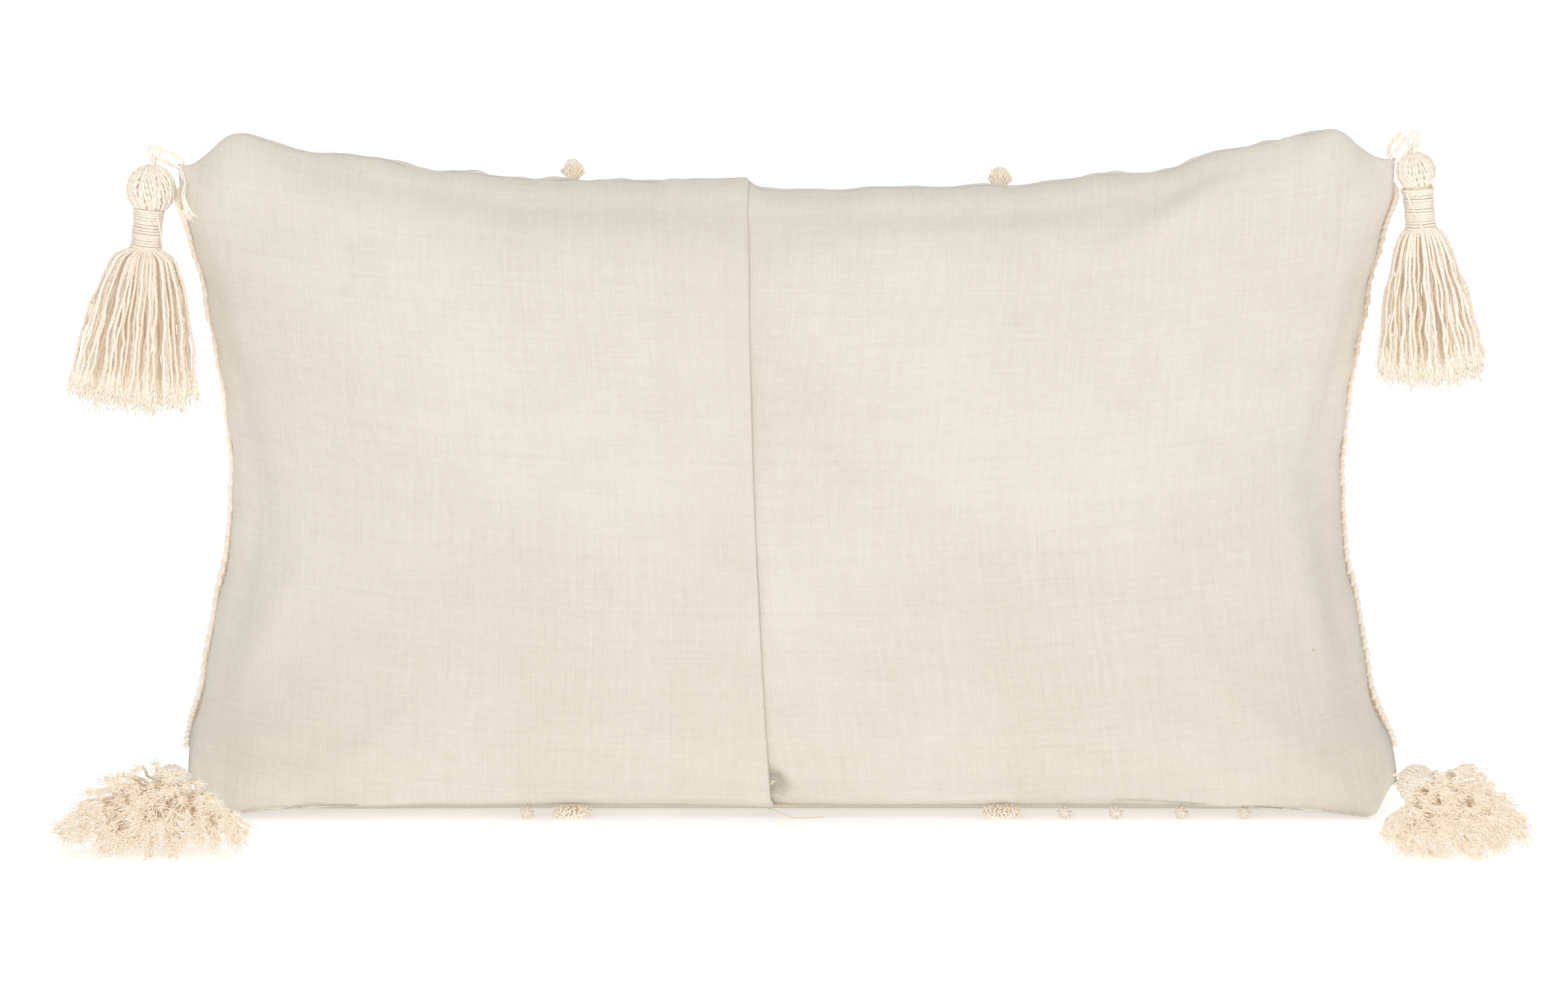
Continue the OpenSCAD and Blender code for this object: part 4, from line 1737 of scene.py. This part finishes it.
    def fringe(self) -> None:
        """The skirt: loose strands with frayed ends."""
        strands, frays = Strands(), Strands()
        lying = self.lie is Lie.LYING
        for index in range(self.strands):
            path = self.strand(index)
            girth = self.rng.uniform(0.72, 0.92) * MM * np.ones(len(path))
            girth[-3:] *= np.array([0.95, 0.8, 0.45])
            strands.add(path, girth, self.rng.uniform(0, 1))
            frays.fray(
                path, self.rng, 0.30 * MM, 15 if lying else 9, 13 * MM,
                (4.8 if lying else 3.6) * MM, 0.4 * MM if lying else None,
            )
        for part, name, sides, step in (
            (strands, "skirt_yarn", 6, 2.0 * MM), (frays, "skirt_fray", 4, 2.6 * MM),
        ):
            if lying:
                self.hold_down(part)
            thing = self.kit.yarn.spin(
                f"{name}_{self.corner}", part, self.kit.cream, Step=step, Sides=sides
            )
            nodes = [f"tassel_skirt_{self.corner}"] if part is strands else []
            self.kit.piece(thing, self.body, Slot.YARN, *nodes)

    @staticmethod
    def hold_down(strands: Strands) -> None:
        """Keeps lying strands above the surface."""
        for path, girth in zip(strands.paths, strands.girths):
            path[:, 2] = np.maximum(path[:, 2], girth * 1.15)


@dataclass
class TieTails:
    """The loose ends of the upper ties."""

    kit: Kit
    tips: dict

    def build(self) -> None:
        """Builds both tails."""
        plans = {
            "upper_left": ([(2, -6, -3), (5, -12, -9), (4, -15, -17), (7, -17, -25)], 7),
            "upper_right": ([(-4, 2.5, 1), (-3, 5, 5), (0, 8, 8), (3, 11, 11)], 8),
        }
        for corner, (route, seed) in plans.items():
            rng = np.random.default_rng(seed)
            tip = np.array(self.tips[corner])
            t = np.linspace(0, 1, 13)
            points = np.array(route) * MM
            stops = np.linspace(0, 1, 4)
            path = tip + np.stack([np.interp(t, stops, points[:, i]) for i in range(3)], -1)
            strands = Strands()
            for offset in (-0.5 * MM, 0.5 * MM):
                ply = path + offset * np.stack([np.sin(9 * t), np.cos(7 * t), np.cos(9 * t)], -1)
                strands.add(ply, 0.7 * MM * np.linspace(1, 0.7, 13), 0.8)
                strands.fray(ply, rng, 0.22 * MM, 12, 9 * MM, 4.2 * MM)
            thing = self.kit.yarn.spin(
                f"tail_yarn_{corner}", strands, self.kit.cream, Step=1.0 * MM, Sides=6
            )
            self.kit.piece(thing, "cushion", Slot.YARN, f"tie_tail_{corner}")


@dataclass
class FrontDecoration:
    """Braids, cut tufts, looped tufts and looped bands sewn on the front."""

    kit: Kit
    column: float = 0.105
    tuft: float = 6 * MM
    loop: float = 3 * MM
    rows: tuple = (-0.84, -0.6, -0.36, -0.12, 0.12, 0.36, 0.6, 0.84, 0.985)
    foot_loops: tuple = (-0.127, 0.136, 0.161, 0.193, 0.224)

    def frame(self, u: Array | float, v: Array | float) -> tuple[Array, ...]:
        """Place on the front cloth, with its outward, upward and sideways directions.

        Args:
            u: place along the pillow.
            v: place up the pillow.

        Returns:
            The place, then the outward, upward and sideways directions.
        """
        cover = self.kit.cover
        place = cover.surface(u, v, Side.FRONT)
        out = cover.shape.normal(np.asarray(u, float), np.asarray(v, float), 1)
        high, low = (np.clip(v + s, -1, 1) for s in (0.01, -0.01))
        up = unit(cover.shape.skin(u, high, 1) - cover.shape.skin(u, low, 1))
        return place, out, up, np.cross(up, out)

    def build(self) -> None:
        """Builds every ornament."""
        self.braids()
        self.cut_tufts()
        self.loop_tufts()
        self.bands()

    def braids(self) -> None:
        """Two braids of V-shaped stitches along the side seams."""
        for name, side in (("left", -1), ("right", 1)):
            strands = Strands()
            pitch = 5.2 * MM
            v = np.arange(-0.9, 0.9, pitch / 0.150)
            u = side * (1 - 1.9 * MM / HALF_LENGTH) * np.ones(len(v))
            place, out, up, across = self.frame(u, v)
            rng = np.random.default_rng(90 + side)
            for i in range(len(v) - 1):
                for lean in (-1, 1):
                    t = np.linspace(0, 1, 7)[:, None]
                    bow = np.sin(t * math.pi)
                    path = (
                        place[i]
                        + across[i] * lean * 4.4 * MM * (1 - t) ** 0.8
                        + up[i] * (pitch * 1.9 * t - 2 * MM)
                        + out[i] * (0.9 * MM + 1.6 * MM * bow)
                    )
                    girth = (1.0 + 0.55 * bow[:, 0]) * MM * rng.uniform(0.92, 1.05)
                    strands.add(path, girth, rng.uniform(0.3, 1))
            thing = self.kit.yarn.spin(
                f"braid_yarn_{name}", strands, self.kit.cream, Step=1.2 * MM, Sides=7
            )
            self.kit.piece(thing, "cushion", Slot.YARN, f"{name}_braid")

    def brush(
        self,
        strands: Strands,
        root: Array,
        out: Array,
        radius: float,
        rng: np.random.Generator,
        count: int = 70,
        lowest: float | None = 0.4 * MM,
    ) -> None:
        """A round brush of cut yarn ends.

        Args:
            strands: where the paths go.
            root: where it starts.
            out: outward direction.
            radius: radius of the brush.
            rng: source of random numbers.
            count: number of yarn ends.
            lowest: lowest height allowed.
        """
        side = unit(np.cross(out, [0.31, 0.22, 0.92]))
        other = np.cross(out, side)
        for i in range(count):
            rho = math.sqrt((i + 0.5) / count)
            turn = GOLDEN_TURN * i
            lean = (side * math.cos(turn) + other * math.sin(turn)) * rho
            reach = radius * (1.75 - 0.75 * rho**2) * rng.uniform(0.88, 1.08)
            t = np.linspace(0, 1, 5)[:, None]
            path = root + lean * radius * (0.25 + 0.85 * t) * 0.95 + out * reach * t * (1 - 0.25 * rho**3 * t)
            path += rng.normal(0, 0.25 * MM, 3) * t
            path[:, 2] = np.maximum(path[:, 2], lowest)
            strands.add(path, 0.62 * MM * np.array([0.8, 1, 1, 1.1, 0.9]), rng.uniform(0.2, 1))

    def foot_root(self, x: Array | float, back: float = 0.0) -> Array:
        """A place on the floor under the bottom seam."""
        return np.array([x, -self.kit.cover.shape.seam_roll - 6 * MM + back, 3.7 * MM])

    def cut_tufts(self) -> None:
        """Two columns of large cut tufts, each with one that peeps out at the foot."""
        for name, side in (("left", -1), ("right", 1)):
            strands = Strands()
            rng = np.random.default_rng(50 + side)
            for v in self.rows:
                place, out, _, _ = self.frame(self.kit.cover.shape.u_at(side * self.column, v), v)
                self.brush(strands, place, out, self.tuft, rng)
            foot = Strands()
            root = self.foot_root(side * self.column)
            self.brush(foot, root, np.array([0.0, -1.0, 0.0]), self.tuft * 1.25, rng, 110)
            for path, shade in zip(foot.paths, foot.shades):
                squashed = root + (path - root) * [1.35, 0.9, 0.52]
                strands.add(squashed, 0.6 * MM, shade[0])
            thing = self.kit.yarn.spin(
                f"tuft_yarn_{name}", strands, self.kit.cream, Step=1.6 * MM, Sides=5
            )
            self.kit.piece(thing, "cushion", Slot.YARN, f"cut_tufts_{name}")

    def knot(
        self,
        strands: Strands,
        place: Array,
        out: Array,
        up: Array,
        across: Array,
        rng: np.random.Generator,
        size: float,
    ) -> None:
        """A small heap of uncut loops.

        Args:
            strands: where the paths go.
            place: where it sits.
            out: outward direction.
            up: upward direction.
            across: sideways direction.
            rng: source of random numbers.
            size: size of the heap.
        """
        for k in range(4):
            turn = k * math.pi / 4 + rng.uniform(-0.2, 0.2)
            way = across * math.cos(turn) + up * math.sin(turn)
            t = np.linspace(0, math.pi, 9)[:, None]
            rise = np.sin(t) * size * rng.uniform(1.1, 1.5) + 0.2 * MM
            path = place + way * np.cos(t) * size * 0.85 + out * rise
            strands.add(path, 0.85 * MM, rng.uniform(0.3, 1))

    def loop_tufts(self) -> None:
        """Rows of small uncut loops between the large columns, and a few at the foot."""
        strands = Strands()
        rng = np.random.default_rng(60)
        for v in (-0.6, 0.0, 0.6):
            for i in range(-4, 5):
                spot = self.frame(self.kit.cover.shape.u_at(i * 6 * self.loop, v), v)
                self.knot(strands, *spot, rng, self.loop)
        for x in self.foot_loops:
            root = self.foot_root(x, -4 * MM)
            axes = np.array([[0, -1, 0.0], [0, 0, 1.0], [1, 0, 0.0]])
            self.knot(strands, root, *axes, rng, 3.4 * MM)
        for path, girth in zip(strands.paths, strands.girths):
            path[:, 2] = np.maximum(path[:, 2], girth)
        thing = self.kit.yarn.spin("loop_yarn", strands, self.kit.cream, Step=1.2 * MM, Sides=6)
        self.kit.piece(thing, "cushion", Slot.YARN, "loop_tufts")

    def bands(self) -> None:
        """Bands of looped yarn between each column and its braid."""
        strands = Strands()
        first, last = (self.column + 3 * self.tuft) / HALF_LENGTH, 1 - 32 * MM / HALF_LENGTH
        rng = np.random.default_rng(70)
        for v in (-0.7, -0.24, 0.24, 0.7):
            for side in (-1, 1):
                turns = 34
                t = np.linspace(0, 1, turns * 10)
                u = side * (first + (last - first) * t)
                place, out, up, across = self.frame(u, v + 0 * t)
                a = 2 * math.pi * turns * t
                size = self.loop * (0.85 + 0.18 * Ripple(int(rng.integers(1e6)), 0.06)(t))[:, None]
                path = place + up * np.cos(a)[:, None] * size + across * np.sin(a)[:, None] * size * 0.8
                path += out * (1.0 * MM + (1 + np.sin(a * 0.5))[:, None] * 0.8 * MM)
                strands.add(path, 0.8 * MM, rng.uniform(0.4, 1))
        thing = self.kit.yarn.spin("band_yarn", strands, self.kit.cream, Step=1.5 * MM, Sides=6)
        self.kit.piece(thing, "cushion", Slot.YARN, "loop_bands")


@dataclass
class SeamFinish:
    """The overlocked allowances inside, and the serged edge that shows at the foot of the flap."""

    kit: Kit

    def build(self) -> None:
        """Builds the hidden overlocking and the visible edge."""
        self.inside()
        self.foot()

    def inside(self) -> None:
        """Zig-zag thread along the seam allowances."""
        shape = self.kit.cover.shape
        strands = Strands()
        reach = np.linspace(-0.86, 0.86, 420)
        zig = np.where(np.arange(420) % 2 == 0, 3.0, 9.0) * MM
        one = np.ones(420)
        for u, v in ((reach, one), (reach, -one), (-one, reach), (one, reach)):
            path = np.array([shape.skin(a, b, -1, e, e, 2.2 * MM) for a, b, e in zip(u, v, zig)])
            strands.add(path + [0, 0.1 * MM, 0], 0.35 * MM, 0.6)
        thing = self.kit.yarn.spin("overlock_thread", strands, self.kit.thread, Step=1.6 * MM, Sides=4)
        self.kit.piece(thing, "cushion", Slot.THREAD, "overlocked_seams")

    def foot(self) -> None:
        """The serged edge at the foot of the flap, with a loose end of thread."""
        cover = self.kit.cover
        strands = Strands()
        x = np.arange(-0.052, 0.008, 1.1 * MM)
        wall = -(cover.shape.seam_roll + 2 * MM) + 0 * x
        for phase, lift in ((0, 0.0), (1, 0.3)):
            high = np.where((np.arange(len(x)) + phase) % 2 == 0, 8.8, 5.0) * MM
            path = np.stack([x, wall - (0.4 + lift) * MM, high], -1)
            strands.add(path, 0.36 * MM, 0.4 + 0.4 * phase)
        for level in (5.2, 8.6):
            strands.add(np.stack([x, wall - 0.5 * MM, level * MM + 0 * x], -1), 0.42 * MM, 0.8)
        t = np.linspace(0, 1, 12)
        loose = np.stack(
            [
                -0.009 + 0.027 * t, wall[0] - (2 + 7 * np.sin(2.4 * t)) * MM,
                (4.0 - 3.2 * smooth(t * 2)) * MM,
            ],
            -1,
        )
        strands.add(loose, 0.3 * MM, 1.0)
        spot = cover.surface(cover.shape.u_at(cover.shape.flap_x(-0.78) + 1 * MM, -0.78), -0.78, Side.BACK)
        nub = spot + np.array([[0, -0.8, 0], [1.6, -1.8, 0.6], [1.1, -1.6, 2.0], [2.8, -2.0, 1.2]]) * MM
        strands.add(nub, 0.3 * MM, 1.0)
        thing = self.kit.yarn.spin("serged_edge", strands, self.kit.thread, Step=0.6 * MM, Sides=5)
        self.kit.piece(thing, "cushion", Slot.THREAD)


# ---------------------------------------------------------------- stage


@dataclass
class Studio:
    """White floor, soft light and camera."""

    distance: float = 3.2
    elevation: float = 8.5
    lens: float = 149.2
    target: tuple = (-0.0013, 0.0, 0.1551)

    def build(self) -> None:
        """Builds the stage."""
        self.floor()
        self.light("front", (-0.5, -3.0, 1.3), 1.3, 27)
        self.light("fill", (1.3, -1.6, 0.9), 1.8, 5)
        self.light("top", (0.0, -0.3, 2.0), 2.2, 11.5)
        self.light("back", (0.6, 2.6, 1.3), 1.3, 15)
        world = bpy.data.worlds.new("studio")
        world.use_nodes = True
        background = world.node_tree.nodes["Background"]
        background.inputs["Color"].default_value = (1, 1, 1, 1)
        background.inputs["Strength"].default_value = 0.42
        bpy.context.scene.world = world
        self.camera()

    def floor(self) -> None:
        """The floor, wide enough to fill the view from any side."""
        half = 15.0
        mesh = bpy.data.meshes.new("floor")
        corners = [(-half, -half, 0), (half, -half, 0), (half, half, 0), (-half, half, 0)]
        mesh.from_pydata(corners, [], [(0, 1, 2, 3)])
        mesh.materials.append(StudioFloor().build())
        link("floor", mesh)

    @staticmethod
    def light(name: str, place: tuple, size: float, power: float) -> None:
        """A large square lamp that faces the pillow.

        Args:
            name: name of the lamp.
            place: where the lamp stands.
            size: width of the lamp.
            power: power in watts.
        """
        lamp = bpy.data.lights.new(name, "AREA")
        lamp.size = size
        lamp.energy = power
        thing = bpy.data.objects.new(name, lamp)
        thing.location = place
        thing.visible_camera = False
        aim = Vector((0, 0, 0.15)) - Vector(place)
        thing.rotation_euler = aim.to_track_quat("-Z", "Y").to_euler()
        bpy.context.scene.collection.objects.link(thing)

    def camera(self) -> None:
        """The camera at eye level in front of the flap side."""
        camera = bpy.data.cameras.new("camera")
        camera.lens, camera.sensor_width = self.lens, 36
        camera.clip_start = 0.05
        thing = bpy.data.objects.new("camera", camera)
        rise = math.radians(self.elevation)
        place = Vector(self.target) + self.distance * Vector((0, -math.cos(rise), math.sin(rise)))
        thing.location = place
        thing.rotation_euler = (Vector(self.target) - place).to_track_quat("-Z", "Y").to_euler()
        bpy.context.scene.collection.objects.link(thing)
        bpy.context.scene.camera = thing


def corner_tip(shape: PillowShape, x_side: int, z_side: int) -> tuple:
    """Tip of one ear."""
    return tuple(shape.skin(float(x_side), float(z_side), 0))


def joint_place(joints: list, name: str) -> tuple:
    """Where a joint of the frame turns."""
    return tuple(next(j["pos_m"] for j in joints if j["name"] == name))


def main() -> None:
    """Builds the scene."""
    logging.basicConfig(level=logging.INFO, format="%(name)s: %(message)s")
    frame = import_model()
    bpy.context.scene.view_settings.view_transform = "Standard"
    Studio().build()

    shape = PillowShape()
    kit = Kit(
        cover=Cover(shape),
        yarn=YarnTree(),
        cotton=WovenCotton().build(),
        cream=TasselYarn().build(),
        thread=TasselYarn(
            name="Seam thread", light=(0.90, 0.84, 0.70, 1), dark=(0.78, 0.68, 0.50, 1)
        ).build(),
        lining=LiningCloth().build(),
        wadding=Wadding().build(),
    )
    CoverPanels(kit).build()
    Insert(kit).build()
    SeamFinish(kit).build()
    FrontDecoration(kit).build()
    tips = {
        f"{level}_{hand}": corner_tip(shape, x, z)
        for level, z in (("upper", 1), ("lower", -1))
        for hand, x in (("left", -1), ("right", 1))
    }
    TieTails(kit, tips).build()
    joints = frame["joints"]
    plans = [
        ("upper_left", "swing", (0, 5.7, 0), 12.0, 33.0, Lie.HANGING, 101),
        ("upper_right", "swing", (0, -5.7, 0), 9.5, 28.5, Lie.HANGING, 102),
        ("lower_left", "turn", (-90, 0, -2), 10.0, 47.0, Lie.LYING, 103),
        ("lower_right", "turn", (-90, 0, 10), 10.0, 35.0, Lie.LYING, 104),
    ]
    for corner, motion, turn, ball, hem, lie, seed in plans:
        anchor = joint_place(joints, f"{motion}_{corner}")
        flare = 0.40 if corner == "upper_left" else 0.56
        count = 150 if lie is Lie.HANGING else 165
        tip = tips[corner]
        Tassel(kit, corner, anchor, tip, turn, ball * MM, hem * MM, lie, seed, flare, count).build()


if __name__ == "__main__":
    main()
